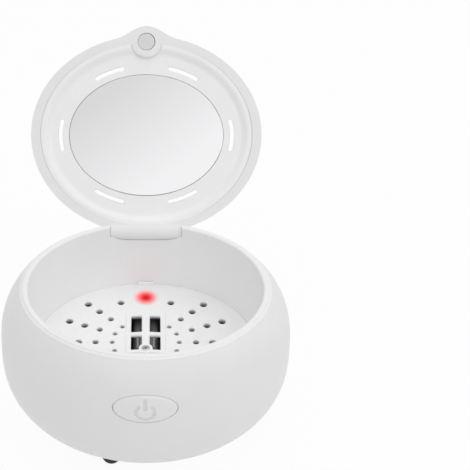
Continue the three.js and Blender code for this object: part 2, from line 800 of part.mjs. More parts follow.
function indicatorLed() {
  const top = trayTopHeight - ledSink;
  const base = top - ledBodyHeight;
  const profile = [[0, base], [ledFlangeRadius, base], [ledFlangeRadius, base + ledFlangeHeight]];
  profile.push([ledRadius, base + ledFlangeHeight]);
  for (let step = 0; step < 4; step += 1) {
    const angle = (step / 4) * (Math.PI / 2);
    profile.push([ledRadius * Math.cos(angle), top - ledRadius + ledRadius * Math.sin(angle)]);
  }
  profile.push([0, top]);
  const leads = [-1, 1].map((side) => boxBetween(
    [side * ledLeadSpread - ledLeadHalf, ledY - ledLeadHalf, wellFloorTop + seatGap],
    [side * ledLeadSpread + ledLeadHalf, ledY + ledLeadHalf, base + ledFlangeHeight / 2]));
  return join(turned(profile, 0, ledY, smallCount), ...leads);
}

// Base and electronics
function baseCover() {
  const plate = prism(ovalShape(coverHalfWidth, coverHalfDepth), 0, coverThickness, 12);
  const standoffs = [-1, 1].flatMap((sideX) => [-1, 1].map((sideY) => rod(
    standoffRadius, coverThickness / 2, boardBottom - seatGap, sideX * boardScrewX, sideY * boardScrewY, fineCount)));
  const pilots = boardScrewPlaces.map(([x, y]) => rod(
    boardScrewRadius + seatGap, coverThickness / 2, boardBottom + overrun, x, y, fineCount));
  const screwHoles = baseScrewPlaces.flatMap(([x, y]) => [
    rod(baseScrewRadius + slipGap, -overrun, coverThickness + overrun, x, y, fineCount),
    rod(baseScrewHeadRadius + slipGap, -overrun, baseScrewHeadHeight + seatGap, x, y, smallCount),
  ]);
  return cut(join(plate, ...standoffs), ...pilots, ...screwHoles);
}

function baseScrew([x, y]) {
  return screw(
    x, y, baseScrewHeadHeight, baseScrewHeadRadius, baseScrewHeadHeight - seatGap,
    baseScrewRadius, baseScrewLength, true);
}

function boardScrew([x, y]) {
  return screw(
    x, y, boardTop + seatGap, boardScrewHeadRadius, boardScrewHeadHeight, boardScrewRadius, boardScrewLength);
}

function mainBoard() {
  const board = prism(
    roundedShape(-boardHalfWidth, boardHalfWidth, -boardHalfDepth, boardHalfDepth, boardCorner),
    boardBottom, boardTop, 3);
  return cut(board, ...boardScrewPlaces.map(([x, y]) => rod(
    boardScrewRadius + slipGap, boardBottom - overrun, boardTop + overrun, x, y, fineCount)));
}

function lampTransformer() {
  const low = boardTop + seatGap;
  const high = low + transformerHeight;
  const front = transformerY - transformerHalfDepth;
  const back = transformerY + transformerHalfDepth;
  const core = boxBetween([-transformerHalfWidth, front, low], [transformerHalfWidth, back, high]);
  const windowSide = transformerHalfWidth - transformerYoke;
  const between = (from, to) => boxBetween(
    [-windowSide, from, low + transformerYoke], [windowSide, to, high - transformerYoke]);
  return cut(
    core,
    between(front - overrun, front + transformerYoke),
    between(back - transformerYoke, back + overrun));
}

function timerChip() {
  const low = boardTop + seatGap;
  return boxBetween(
    [-2 * chipHalfWidth - partGap, smallPartsFront, low],
    [-partGap, smallPartsFront + 2 * chipHalfDepth, low + chipHeight]);
}

function capacitor() {
  const low = boardTop + seatGap;
  return rod(
    capacitorRadius, low, low + capacitorHeight,
    capacitorRadius + partGap, smallPartsFront + capacitorRadius, smallCount);
}

function foot([x, y]) {
  const centre = footRadius - footProud;
  const profile = [[0, -footProud], [footFlatRadius, -footProud]];
  const first = Math.asin(footFlatRadius / footRadius);
  const steps = 5;
  for (let step = 1; step <= steps; step += 1) {
    const angle = first + ((Math.PI / 2 - first) * step) / steps;
    profile.push([footRadius * Math.sin(angle), centre - footRadius * Math.cos(angle)]);
  }
  const padTop = footSeat + footPadThickness + seatGap;
  profile.push([footRadius, footSeat - seatGap]);
  profile.push([footNeckRadius, footSeat - seatGap]);
  profile.push([footNeckRadius, padTop]);
  profile.push([footBarbRadius, padTop]);
  profile.push([footNeckRadius, padTop + footBarbHeight]);
  profile.push([0, padTop + footBarbHeight]);
  return turned(profile, x, y, smallCount);
}

function usbReceptacle() {
  const front = recessFloorY - seatGap;
  const sheath = portPrism(0, front - portDepth, front);
  const hollow = portPrism(-portWall, front - portDepth + portWall, front + overrun);
  const tongueTop = portHeight + portHalfHeight - portWall - tongueThickness / 2;
  const tongue = boxBetween(
    [-tongueHalfWidth, front - portDepth + portWall / 2, tongueTop - tongueThickness],
    [tongueHalfWidth, front - tongueInset, tongueTop]);
  return join(cut(sheath, hollow), tongue);
}

function usbBoard() {
  const top = portHeight - portHalfHeight - seatGap;
  return boxBetween(
    [-usbBoardHalfWidth, usbBoardFront, top - usbBoardThickness], [usbBoardHalfWidth, usbBoardBack, top]);
}

// Button and its switch
const switchBoardEnds = [buttonHeight - switchBoardHalfHeight, buttonHeight + switchBoardHalfHeight];
const switchBoardY = Math.max(...switchBoardEnds.map((end) => bowlInside(end)[1])) + bowlWall + openGap;

function buttonCap() {
  const bottom = buttonHeight - buttonHalfHeight - buttonFlange - overrun;
  const top = buttonHeight + buttonHalfHeight + buttonFlange + overrun;
  const behind = (inset) => pebble(bottom, top, inset, 6);
  const through = (growth) => buttonOval(growth, -halfDepth - overrun, -halfDepth / 2);
  const flangeFront = shellWall + openGap;
  const stem = through(0).intersect(behind(-buttonProud));
  const flange = through(buttonFlange).intersect(behind(flangeFront));
  const hollow = through(-buttonSkin).intersect(behind(buttonSkin - buttonProud));
  const plungerFront = switchBoardY + switchBoardThickness + switchBodyDepth + openGap;
  const post = rodAlongY(
    buttonPostRadius, -halfDepth + buttonSkin / 2, -plungerFront - buttonTravel - seatGap, 0, buttonHeight, smallCount);
  return join(cut(join(stem, flange), behind(flangeFront + buttonFlangeThickness), hollow), post);
}

function switchBoard() {
  return boxBetween(
    [-switchBoardHalfWidth, -switchBoardY - switchBoardThickness, switchBoardEnds[0]],
    [switchBoardHalfWidth, -switchBoardY, switchBoardEnds[1]]);
}

function tactSwitch() {
  const back = -switchBoardY - switchBoardThickness - seatGap;
  const body = boxBetween(
    [-switchBodyHalf, back - switchBodyDepth + seatGap, buttonHeight - switchBodyHalf],
    [switchBodyHalf, back, buttonHeight + switchBodyHalf]);
  const plunger = rodAlongY(
    switchPlungerRadius, back - switchBodyDepth - openGap + seatGap, back - switchBodyDepth / 2, 0, buttonHeight, fineCount);
  return join(body, plunger);
}

function lidSensor() {
  return rodAlongX(sensorRadius, -sensorHalfLength, sensorHalfLength, sensorY, sensorHeight, fineCount);
}

function hingePin() {
  return rodAlongX(pinRadius, -pinHalfLength, pinHalfLength, hingeY, hingeHeight, smallCount);
}

// Lid pieces, drawn closed
const lidTopShare = 0.1;
const lidTop = bellyHeight + upperReach * (1 - lidTopShare ** upperPower) ** (1 / upperPower);

// A round-ended slot along the slot oval, at an angle and with a sweep to each side
function ovalSlot(centre, sweep) {
  const steps = 4;
  const outer = [];
  const inner = [];
  const at = (angle, offset) => {
    const x = slotHalfWidth * Math.cos(angle);
    const y = slotHalfDepth * Math.sin(angle);
    const normal = new THREE.Vector2(x / slotHalfWidth ** 2, y / slotHalfDepth ** 2).normalize();
    return new THREE.Vector2(x, y).addScaledVector(normal, offset);
  };
  for (let step = 0; step <= steps; step += 1) {
    const angle = radians(centre - sweep + (2 * sweep * step) / steps);
    outer.push(at(angle, slotWidth / 2));
    inner.push(at(angle, -slotWidth / 2));
  }
  const points = [...outer];
  const addEnd = (from, to) => {
    const middle = from.clone().add(to).multiplyScalar(0.5);
    const arm = from.clone().sub(middle);
    for (let step = 1; step < 3; step += 1) {
      points.push(middle.clone().add(arm.clone().rotateAround(new THREE.Vector2(), (Math.PI * step) / 3)));
    }
  };
  addEnd(outer[steps], inner[steps]);
  points.push(...[...inner].reverse());
  addEnd(inner[0], outer[0]);
  return prism(new THREE.Shape(points), lidPlane - overrun, lidTop + overrun);
}

function lidSlots() {
  const corners = [cornerSlotCentre, 180 - cornerSlotCentre, 180 + cornerSlotCentre, 360 - cornerSlotCentre];
  return [
    ovalSlot(0, sideSlotSweep),
    ovalSlot(180, sideSlotSweep),
    ...corners.map((centre) => ovalSlot(centre, cornerSlotSweep)),
  ];
}

// The finger tab: a round nose whose sides run into the lid's edge through fillets
function tabShape() {
  const centreY = -tabFront + tabRadius;
  const joinX = tabRadius + tabFillet;
  const joinY = -lidHalfDepth * Math.sqrt(1 - (joinX / lidHalfWidth) ** 2);
  const shoulder = new THREE.Vector2(tabRadius * Math.cos(radians(35)), centreY - tabRadius * Math.sin(radians(35)));
  const shape = new THREE.Shape();
  shape.moveTo(-joinX, joinY + tabFillet);
  shape.lineTo(-joinX, joinY);
  shape.quadraticCurveTo(-shoulder.x - tabFillet / 3, joinY - tabFillet / 4, -shoulder.x, shoulder.y);
  shape.absarc(0, centreY, tabRadius, radians(215), radians(325));
  shape.quadraticCurveTo(shoulder.x + tabFillet / 3, joinY - tabFillet / 4, joinX, joinY);
  shape.lineTo(joinX, joinY + tabFillet);
  return shape;
}

// The tab's upper side: a square edge that slopes back until it meets the lid
function tabEnvelope() {
  const steps = 4;
  const outward = (height, blend) => {
    const [ringHalfWidth, ringHalfDepth] = pebbleRing(height);
    const widening = 1 + (1 - blend) * ((tabFront + slipGap) / ringHalfDepth - 1);
    return [ringHalfWidth * widening, ringHalfDepth * widening, height];
  };
  const rings = [atHeight(outward(lidPlane + tabEdge, 0), lidPlane)];
  for (let step = 0; step <= steps; step += 1) {
    rings.push(outward(lidPlane + tabEdge + ((tabRise - tabEdge) * step) / steps, step / steps));
  }
  return ringSolid(rings);
}

// The hinge leaf: a tongue from the lid's back edge down to the barrel round the pin
function hingeLeaf() {
  const tongue = boxBetween(
    [-leafHalfWidth, hingeY - barrelRadius, hingeHeight],
    [leafHalfWidth, hingeY + barrelRadius, lidPlane + lidWall]);
  const barrel = rodAlongX(barrelRadius, -leafHalfWidth, leafHalfWidth, hingeY, hingeHeight, 24);
  return join(tongue, barrel).intersect(pebble(hingeHeight - barrelRadius - overrun, lidTop, 0, 9));
}

function lidShell() {
  const outside = pebble(lidPlane, lidTop, 0, 7);
  const hollow = pebble(lidPlane, lidTop - lidWall, lidWall, 5);
  const opened = cut(outside, hollow, ringSolid([
    atHeight(pebbleRing(lidPlane, lidWall), lidPlane - overrun),
    pebbleRing(lidPlane, lidWall),
  ]));
  const nose = prism(tabShape(), lidPlane, lidPlane + tabRise, 6).intersect(tabEnvelope());
  const boss = rod(magnetBossRadius, lidPlane, lidPlane + magnetBossRise, 0, magnetY);
  const noseBody = cut(join(nose, boss.intersect(join(outside, nose))), cut(hollow, boss));
  const pocket = rod(
    magnetRadius + slipGap, lidPlane - overrun, lidPlane + magnetThickness + 2 * seatGap, 0, magnetY);
  const bore = rodAlongX(
    pinRadius + pinRunGap, -leafHalfWidth - overrun, leafHalfWidth + overrun, hingeY, hingeHeight, smallCount);
  return cut(join(opened, noseBody, cut(hingeLeaf(), hollow)), pocket, bore, ...lidSlots());
}

const panelHeight = lidPlane + lidPanelDepth;
const pocketTop = panelHeight + mirrorThickness + mirrorPadThickness + 2 * seatGap;

function lidLiner() {
  const backHeight = panelHeight + linerThickness;
  const edge = grown(pebbleRing(lidPlane, lidWall), -slipGap);
  const body = ringSolid([
    edge,
    grown(pebbleRing(panelHeight, lidWall), -slipGap),
    grown(pebbleRing(backHeight, lidWall), -openGap),
  ]);
  const pocketBlock = ringSolid([
    [mirrorHalfWidth + pocketRim, mirrorHalfDepth + pocketRim, panelHeight],
    [mirrorHalfWidth + pocketRim, mirrorHalfDepth + pocketRim, pocketTop + pocketFloor],
  ]);
  const mouth = grown(edge, -linerLand);
  const coveSteps = 4;
  const coveRings = [atHeight(mouth, lidPlane - overrun)];
  for (let step = 0; step <= coveSteps; step += 1) {
    const angle = (Math.PI / 2) * (step / coveSteps);
    coveRings.push(atHeight(
      grown(mouth, -coveWidth * (1 - Math.cos(angle))), lidPlane + lidPanelDepth * Math.sin(angle)));
  }
  const pocket = ringSolid([
    [mirrorHalfWidth + slipGap, mirrorHalfDepth + slipGap, lidPlane],
    [mirrorHalfWidth + slipGap, mirrorHalfDepth + slipGap, pocketTop],
  ]);
  const bossRoom = rod(magnetBossRadius + slipGap, lidPlane - overrun, lidTop, 0, magnetY);
  return cut(join(body, pocketBlock), ringSolid(coveRings), pocket, bossRoom, ...lidSlots());
}

function ovalPlate(ringHalfWidth, ringHalfDepth, low, high) {
  return ringSolid([[ringHalfWidth, ringHalfDepth, low], [ringHalfWidth, ringHalfDepth, high]]);
}

function mirror() {
  return ovalPlate(mirrorHalfWidth, mirrorHalfDepth, panelHeight, panelHeight + mirrorThickness);
}

function mirrorPad() {
  const low = panelHeight + mirrorThickness + seatGap;
  return ovalPlate(
    mirrorHalfWidth - pocketRim, mirrorHalfDepth - pocketRim, low, low + mirrorPadThickness);
}

function lidMagnet() {
  return rod(magnetRadius, lidPlane + seatGap, lidPlane + seatGap + magnetThickness, 0, magnetY);
}

// Assembly
const dryerBox = new THREE.Group();
const housing = new THREE.Group();
const buttonGroup = new THREE.Group();
const lidTurn = new THREE.Group();
const lidGroup = new THREE.Group();
lidTurn.position.set(0, hingeY, hingeHeight);
lidTurn.rotation.x = -radians(openAngle);
lidGroup.position.set(0, -hingeY, -hingeHeight);
lidTurn.add(lidGroup);
dryerBox.add(housing, buttonGroup, lidTurn);

function place(group, name, made, material) {
  const mesh = new THREE.Mesh(toGeometry(made), material);
  mesh.name = name;
  group.add(mesh);
}

place(housing, 'outer_shell', outerShell(), whiteShell);
place(housing, 'inner_bowl', innerBowl(), whiteLiner);
place(housing, 'tray_plate', trayPlate(), whiteTray);
place(housing, 'lamp_grille', lampGrille(), whiteTray);
place(housing, 'grille_screw', grilleScrew(), steel);
place(housing, 'uv_lamp', uvLamp(), darkGlass);
place(housing, 'lamp_holder', lampHolder(), ceramic);
place(housing, 'lamp_reflector', lampReflector(), aluminium);
place(housing, 'ptc_element', ptcElement(), ptcStone);
place(housing, 'heater_plate', heaterPlate(), aluminium);
place(housing, 'indicator_led', indicatorLed(), redLens);
place(housing, 'main_board', mainBoard(), boardGreen);
place(housing, 'lamp_transformer', lampTransformer(), copper);
place(housing, 'timer_chip', timerChip(), blackPlastic);
place(housing, 'capacitor', capacitor(), aluminium);
place(housing, 'usb_board', usbBoard(), boardGreen);
place(housing, 'usb_receptacle', usbReceptacle(), steel);
place(housing, 'switch_board', switchBoard(), boardGreen);
place(housing, 'tact_switch', tactSwitch(), blackPlastic);
place(housing, 'lid_sensor', lidSensor(), darkGlass);
place(housing, 'base_cover', baseCover(), whiteShell);
place(housing, 'hinge_pin', hingePin(), steel);
baseScrewPlaces.forEach((spot, index) => place(housing, `base_screw_${index + 1}`, baseScrew(spot), steel));
boardScrewPlaces.forEach((spot, index) => place(housing, `board_screw_${index + 1}`, boardScrew(spot), steel));
footPlaces.forEach((spot, index) => place(housing, `foot_${index + 1}`, foot(spot), blackRubber));
place(buttonGroup, 'button_cap', buttonCap(), whiteShell);
place(lidGroup, 'lid_shell', lidShell(), whiteShell);
place(lidGroup, 'lid_liner', lidLiner(), whiteLiner);
place(lidGroup, 'mirror', mirror(), mirrorGlass);
place(lidGroup, 'mirror_pad', mirrorPad(), foamPad);
place(lidGroup, 'lid_magnet', lidMagnet(), steel);

export default dryerBox;
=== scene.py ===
import math

import bpy
from bpy.props import FloatProperty, FloatVectorProperty, IntProperty, PointerProperty
from mathutils import Matrix, Vector


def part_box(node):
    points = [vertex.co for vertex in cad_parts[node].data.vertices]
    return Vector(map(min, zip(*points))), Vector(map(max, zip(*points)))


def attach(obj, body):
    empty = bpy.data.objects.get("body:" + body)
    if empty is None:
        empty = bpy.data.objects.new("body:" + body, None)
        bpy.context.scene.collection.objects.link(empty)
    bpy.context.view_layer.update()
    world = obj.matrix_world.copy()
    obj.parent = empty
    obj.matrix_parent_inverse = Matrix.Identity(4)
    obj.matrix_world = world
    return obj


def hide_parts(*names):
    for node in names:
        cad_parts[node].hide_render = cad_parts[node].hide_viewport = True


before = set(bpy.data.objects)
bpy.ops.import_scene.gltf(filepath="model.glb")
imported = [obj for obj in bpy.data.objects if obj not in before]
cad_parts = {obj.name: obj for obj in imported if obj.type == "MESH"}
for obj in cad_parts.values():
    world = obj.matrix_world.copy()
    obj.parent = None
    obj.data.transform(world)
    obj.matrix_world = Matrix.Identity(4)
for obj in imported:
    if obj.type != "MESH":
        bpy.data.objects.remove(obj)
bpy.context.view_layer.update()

# How far a cutter stands past what it cuts
OVER = 0.001
# A gap or an overlap that is too small to see
HAIR = 0.00005
# A share just under the whole, which keeps points from meeting
ALMOST = 0.999

bl_info = {
    "name": "Hearing aid UV dryer box",
    "version": (1, 0, 0),
    "blender": (4, 5, 0),
    "location": "View3D > Sidebar > Dryer Box",
    "description": "Dresses the packed drying box with finely modelled and finished pieces",
    "category": "Add Mesh",
}


def length(name, description, default):
    """A size in metres."""
    return FloatProperty(name=name, description=description, default=default, unit="LENGTH", precision=5)


def turn(name, description, default):
    """An angle, written here in degrees."""
    return FloatProperty(name=name, description=description, default=math.radians(default), subtype="ANGLE")


def figure(name, description, default):
    """A plain number."""
    return FloatProperty(name=name, description=description, default=default)


def watts(name, description, default):
    """The power of a light, in watts."""
    return FloatProperty(name=name, description=description, default=default, unit="POWER")


def tint(name, description, default):
    """A linear colour."""
    return FloatVectorProperty(
        name=name, description=description, default=default, subtype="COLOR", size=3, min=0.0, max=1.0)


class PebbleForm(bpy.types.PropertyGroup):
    """The rounded form that the housing and the lid share."""

    half_width: length("Half width", "Half of the widest section, left to right", 0.042)
    half_depth: length("Half depth", "Half of the widest section, front to back", 0.0366)
    belly_height: length("Belly height", "Height of the widest section", 0.0248)
    lower_reach: length("Lower reach", "From the belly down to where the form would close", 0.0278)
    upper_reach: length("Upper reach", "From the belly up to the crown of the closed lid", 0.0305)
    lower_power: figure("Lower power", "Fullness below the belly", 2.45)
    upper_power: figure("Upper power", "Fullness above the belly", 2.83)
    seam_height: length("Seam height", "Top of the bowl's rim", 0.0469)
    seam_gap: length("Seam gap", "Air between the rim and the closed lid", 0.0003)
    wall: length("Wall", "Thickness of the housing", 0.002)
    sides: IntProperty(name="Sides", description="Points round the housing and the lid", default=192)


class HousingSizes(bpy.types.PropertyGroup):
    """Cuts and edges of the white housing."""

    top_round: length("Top round", "Rounding of the housing's top edge", 0.00004)
    ledge_bottom: length("Ledge bottom", "Underside of the ledge that the base cover lies on", 0.00205)
    ledge_thickness: length("Ledge thickness", "Thickness of that ledge", 0.0018)
    notch_side: length("Notch side", "Half width of the hinge notch", 0.01068)
    notch_floor: length("Notch floor", "Height of the sill of the hinge notch", 0.04076)
    notch_corner: length("Notch corner", "Rounding of the notch's lower corners", 0.0005)
    recess_height: length("Recess height", "Middle of the inlet's recess", 0.0218)
    recess_half_width: length("Recess half width", "Half width of the recess", 0.0058)
    recess_half_height: length("Recess half height", "Half height of the recess", 0.00325)
    recess_corner: length("Recess corner", "Corner radius of the recess", 0.0013)
    recess_depth: length("Recess depth", "Depth of the recess from the belly", 0.0012)
    edge_round: length("Edge round", "Rounding of the cut edges", 0.0003)


class BowlSizes(bpy.types.PropertyGroup):
    """The oval bowl and the well under its tray."""

    rim_width: length("Rim width", "Width of the lip on top of the housing", 0.0016)
    lip_round: length("Lip round", "Rounding of the lip towards the bowl", 0.0006)
    flange: length("Flange", "Thickness of the lip's flange", 0.0007)
    edge_round: length("Edge round", "Rounding of the lip's outer edge", 0.0003)
    wall: length("Wall", "Thickness of the bowl", 0.0014)
    side_inset: length("Side inset", "From the belly to the bowl's wall at the tray, at the sides", 0.0101)
    end_inset: length("End inset", "The same at the front and back", 0.0092)
    tray_top: length("Tray top", "Height of the tray's upper face", 0.0258)
    tray_thickness: length("Tray thickness", "Thickness of the tray", 0.0015)
    seat_width: length("Seat width", "Ledge that the tray lies on", 0.0024)
    well_floor: length("Well floor", "Upper face of the well's floor", 0.0135)
    well_bottom: length("Well bottom", "Underside of the well's floor", 0.012)


class TraySizes(bpy.types.PropertyGroup):
    """The perforated tray, the lamp grille in it and the red indicator."""

    edge_gap: length("Edge gap", "Gap between the tray and the bowl", 0.00004)
    edge_round: length("Edge round", "Rounding of the tray's edge", 0.00006)
    hole_radius: length("Hole radius", "Radius of the outermost holes", 0.00116)
    hole_edge: length("Hole edge", "From the tray's edge to the outermost holes", 0.00281)
    hole_round: length("Hole round", "Rounding of the holes' mouths", 0.0001)
    row_step: turn("Row step", "Angle from one row of holes to the next", 22.5)
    dimple_radius: length("Dimple radius", "Radius of the low studs between the holes", 0.0007)
    dimple_rise: length("Dimple rise", "Height of those studs", 0.00008)
    catch_half_width: length("Catch half width", "Half width of the catch at the back edge", 0.0025)
    catch_reach: length("Catch reach", "Depth of the catch from the tray's edge", 0.0009)
    catch_height: length("Catch height", "Height of the catch above the tray", 0.001)
    window_front: length("Window front", "Front end of the lamp windows", -0.00345)
    window_back: length("Window back", "Back end of the lamp windows", 0.01162)
    window_half_width: length("Window half width", "Outer side of the lamp windows", 0.0043)
    bar_half_width: length("Bar half width", "Half width of the long bar between the windows", 0.0012)
    cross_bar_front: length("Cross bar front", "Front side of the short bar", 0.0027)
    cross_bar_back: length("Cross bar back", "Back side of the short bar", 0.0044)
    grille_rim: length("Grille rim", "Rim round the windows", 0.0015)
    grille_thickness: length("Grille thickness", "Thickness of the grille at its sides", 0.0009)
    grille_crown: length("Grille crown", "Rise of the grille's arch", 0.00045)
    grille_gap: length("Grille gap", "Gap round the grille", 0.00002)
    grille_corner: length("Grille corner", "Corner radius of the grille", 0.0006)
    window_flare: length("Window flare", "How much wider the windows are underneath", 0.00025)
    window_round: length("Window round", "Rounding of the windows' mouths", 0.0004)
    screw_y: length("Screw place", "Place of the grille's screw", -0.0031)
    boss_radius: length("Boss radius", "Boss round the grille's screw", 0.00205)
    screw_radius: length("Screw radius", "Radius of the screw's head", 0.00113)
    screw_height: length("Screw height", "Height of the screw's head", 0.0008)
    led_y: length("Indicator place", "Place of the red indicator", 0.02062)
    led_radius: length("Indicator radius", "Radius of the indicator's lens", 0.0015)
    glow_radius: length("Glow radius", "How far the red light spreads in the tray", 0.0046)


class LampSizes(bpy.types.PropertyGroup):
    """The bent ultraviolet lamp."""

    tube_radius: length("Tube radius", "Radius of the glass tube", 0.0016)
    spread: length("Leg spread", "Half of the distance between the legs", 0.0023)
    height: length("Height", "Height of the tube's middle", 0.021)
    front: length("Front", "Front of the bend, on its middle line", -0.0044)
    back: length("Back", "Back end of the legs", 0.0139)


class ButtonSizes(bpy.types.PropertyGroup):
    """The oval power button with its engraved symbol."""

    height: length("Height", "Middle of the button", 0.03287)
    half_width: length("Half width", "Half width of the cap", 0.00892)
    half_height: length("Half height", "Half height of the cap", 0.00462)
    proud: length("Proud", "How far the cap stands out of the housing", 0.0003)
    gap: length("Gap", "Gap round the cap", 0.00008)
    hole_round: length("Hole round", "Rounding of the hole in the housing", 0.00014)
    edge_round: length("Edge round", "Rounding of the cap's edge", 0.0008)
    symbol_radius: length("Symbol radius", "Middle line of the symbol's ring", 0.0025)
    symbol_line: length("Symbol line", "Width of the symbol's line", 0.00098)
    symbol_depth: length("Symbol depth", "Depth of the engraving", 0.0005)
    symbol_drop: length("Symbol drop", "From the cap's middle down to the ring's middle", 0.0006)
    symbol_opening: turn("Symbol opening", "Half of the gap in the ring", 38)
    bar_low: length("Bar low", "Lower end of the bar above the ring's middle", 0.00028)
    bar_high: length("Bar high", "Upper end of the bar above the ring's middle", 0.0043)


class InletSizes(bpy.types.PropertyGroup):
    """The power inlet in the rear recess."""

    height: length("Height", "Middle of the inlet's mouth", 0.02275)
    half_width: length("Half width", "Half width of the metal sheath", 0.00375)
    half_height: length("Half height", "Half height of the metal sheath", 0.00125)
    chamfer: length("Chamfer", "Cut corners at the lower side", 0.0009)
    clear: length("Clear", "Gap between the sheath and the housing", 0.00015)
    sheet: length("Sheet", "Thickness of the sheath", 0.0003)
    depth: length("Depth", "Length of the sheath", 0.0052)
    front: length("Front", "Plane of the recess floor", 0.0354)
    tongue_half_width: length("Tongue half width", "Half width of the tongue", 0.0019)
    tongue_thickness: length("Tongue thickness", "Thickness of the tongue", 0.0006)
    tongue_inset: length("Tongue inset", "From the mouth to the tongue's end", 0.0009)


class LidSizes(bpy.types.PropertyGroup):
    """The lid, its lining, its mirror, its tab and its hinge leaf."""

    wall: length("Wall", "Thickness of the lid", 0.0016)
    edge_round: length("Edge round", "Rounding of the lid's lower edge", 0.00015)
    hinge_y: length("Hinge place", "Place of the hinge line", 0.0298956)
    hinge_height: length("Hinge height", "Height of the hinge line", 0.0436)
    open_angle: turn("Open angle", "How far the lid stands open", 132)
    leaf_half_width: length("Leaf half width", "Half width of the hinge leaf", 0.0106)
    barrel_radius: length("Barrel radius", "Radius of the hinge barrel", 0.0023)
    pin_radius: length("Pin radius", "Radius of the hinge pin", 0.0007)
    panel_depth: length("Panel depth", "From the lid's edge in to the lining's panel", 0.00125)
    land: length("Land", "Flat edge of the lining", 0.0009)
    cove: length("Cove", "Width of the hollow curve round the panel", 0.0024)
    lining: length("Lining", "Thickness of the lining", 0.0012)
    lining_gap: length("Lining gap", "Gap between the lining and the lid", 0.00002)
    mirror_margin: length("Mirror margin", "From the lid's edge to the mirror, at the sides", 0.0114)
    mirror_end_margin: length("Mirror end margin", "The same at the front and back", 0.0119)
    mirror_thickness: length("Mirror thickness", "Thickness of the mirror", 0.001)
    mirror_bevel: length("Mirror bevel", "Width of the mirror's ground edge", 0.00006)
    mirror_gap: length("Mirror gap", "Gap round the mirror", 0.00015)
    slot_margin: length("Slot margin", "From the mirror out to the vent slots", 0.0027)
    slot_width: length("Slot width", "Width of the vent slots", 0.00118)
    slot_lean: figure("Slot lean", "Lean of the slots to the front", 0.165)
    slot_fan: figure("Slot fan", "More lean in front, less behind", 0.035)
    slot_spread: figure("Slot spread", "Outward lean at the sides", 2.2)
    side_sweep: turn("Side sweep", "Half sweep of the slots at the sides", 11.6)
    corner_place: turn("Corner place", "Place of the slots near the front and back", 64.3)
    corner_sweep: turn("Corner sweep", "Half sweep of those slots", 9.6)
    tab_standout: length("Tab standout", "How far the finger tab stands out", 0.00275)
    tab_flat: length("Tab flat", "Half width of the tab's straight front", 0.0004)
    tab_half_width: length("Tab half width", "Where the tab's curve leaves the lid's edge", 0.0091)
    tab_edge: length("Tab edge", "Height of the tab's upright edge", 0.0011)
    tab_rise: length("Tab rise", "Height at which the tab has run into the lid", 0.0036)
    magnet_y: length("Magnet place", "Place of the magnet", -0.02825)
    magnet_radius: length("Magnet radius", "Radius of the magnet", 0.00255)
    magnet_thickness: length("Magnet thickness", "Thickness of the magnet", 0.0018)
    boss_radius: length("Boss radius", "Radius of the boss round the magnet", 0.00485)
    boss_rise: length("Boss rise", "Depth of that boss", 0.0034)
    boss_round: length("Boss round", "Rounding of that boss", 0.0006)
    magnet_gap: length("Magnet gap", "Gap round the magnet", 0.00008)
    magnet_off: length("Magnet off", "How far the magnet sits to one side of its pocket", 0.00006)
    edge_swell: length("Edge swell", "How much the lid's edge widens at the sides", 0.0003)


class BaseSizes(bpy.types.PropertyGroup):
    """The base cover, its screws and the feet."""

    cover_margin: length("Cover margin", "From the base's edge to the cover", 0.0021)
    cover_gap: length("Cover gap", "Gap round the cover", 0.0002)
    cover_thickness: length("Cover thickness", "Thickness of the cover", 0.002)
    ledge: length("Ledge", "Width of the ledge that the cover lies on", 0.0046)
    screw_head: length("Screw head", "Radius of the screws' heads", 0.0016)
    screw_head_height: length("Screw head height", "Height of the screws' heads", 0.00085)
    screw_shank: length("Screw shank", "Radius of the screws' shanks", 0.0009)
    screw_length: length("Screw length", "Length of the screws under the head", 0.0065)
    boss_radius: length("Boss radius", "Radius of the bosses that the screws go into", 0.0024)
    boss_top: length("Boss top", "Height of those bosses", 0.009)
    foot_radius: length("Foot radius", "Radius of the feet", 0.0029)
    foot_proud: length("Foot proud", "How far the feet reach under the base", 0.0012)
    foot_tip: length("Foot tip", "Radius of the flat tip of a foot", 0.0008)
    foot_seat: length("Foot seat", "Height of the seat that a foot goes into", 0.004)
    foot_pad: length("Foot pad", "Radius of the pad over a foot", 0.0042)
    foot_pad_top: length("Foot pad top", "Height of that pad", 0.0062)
    foot_gap: length("Foot gap", "Gap round a foot", 0.0002)


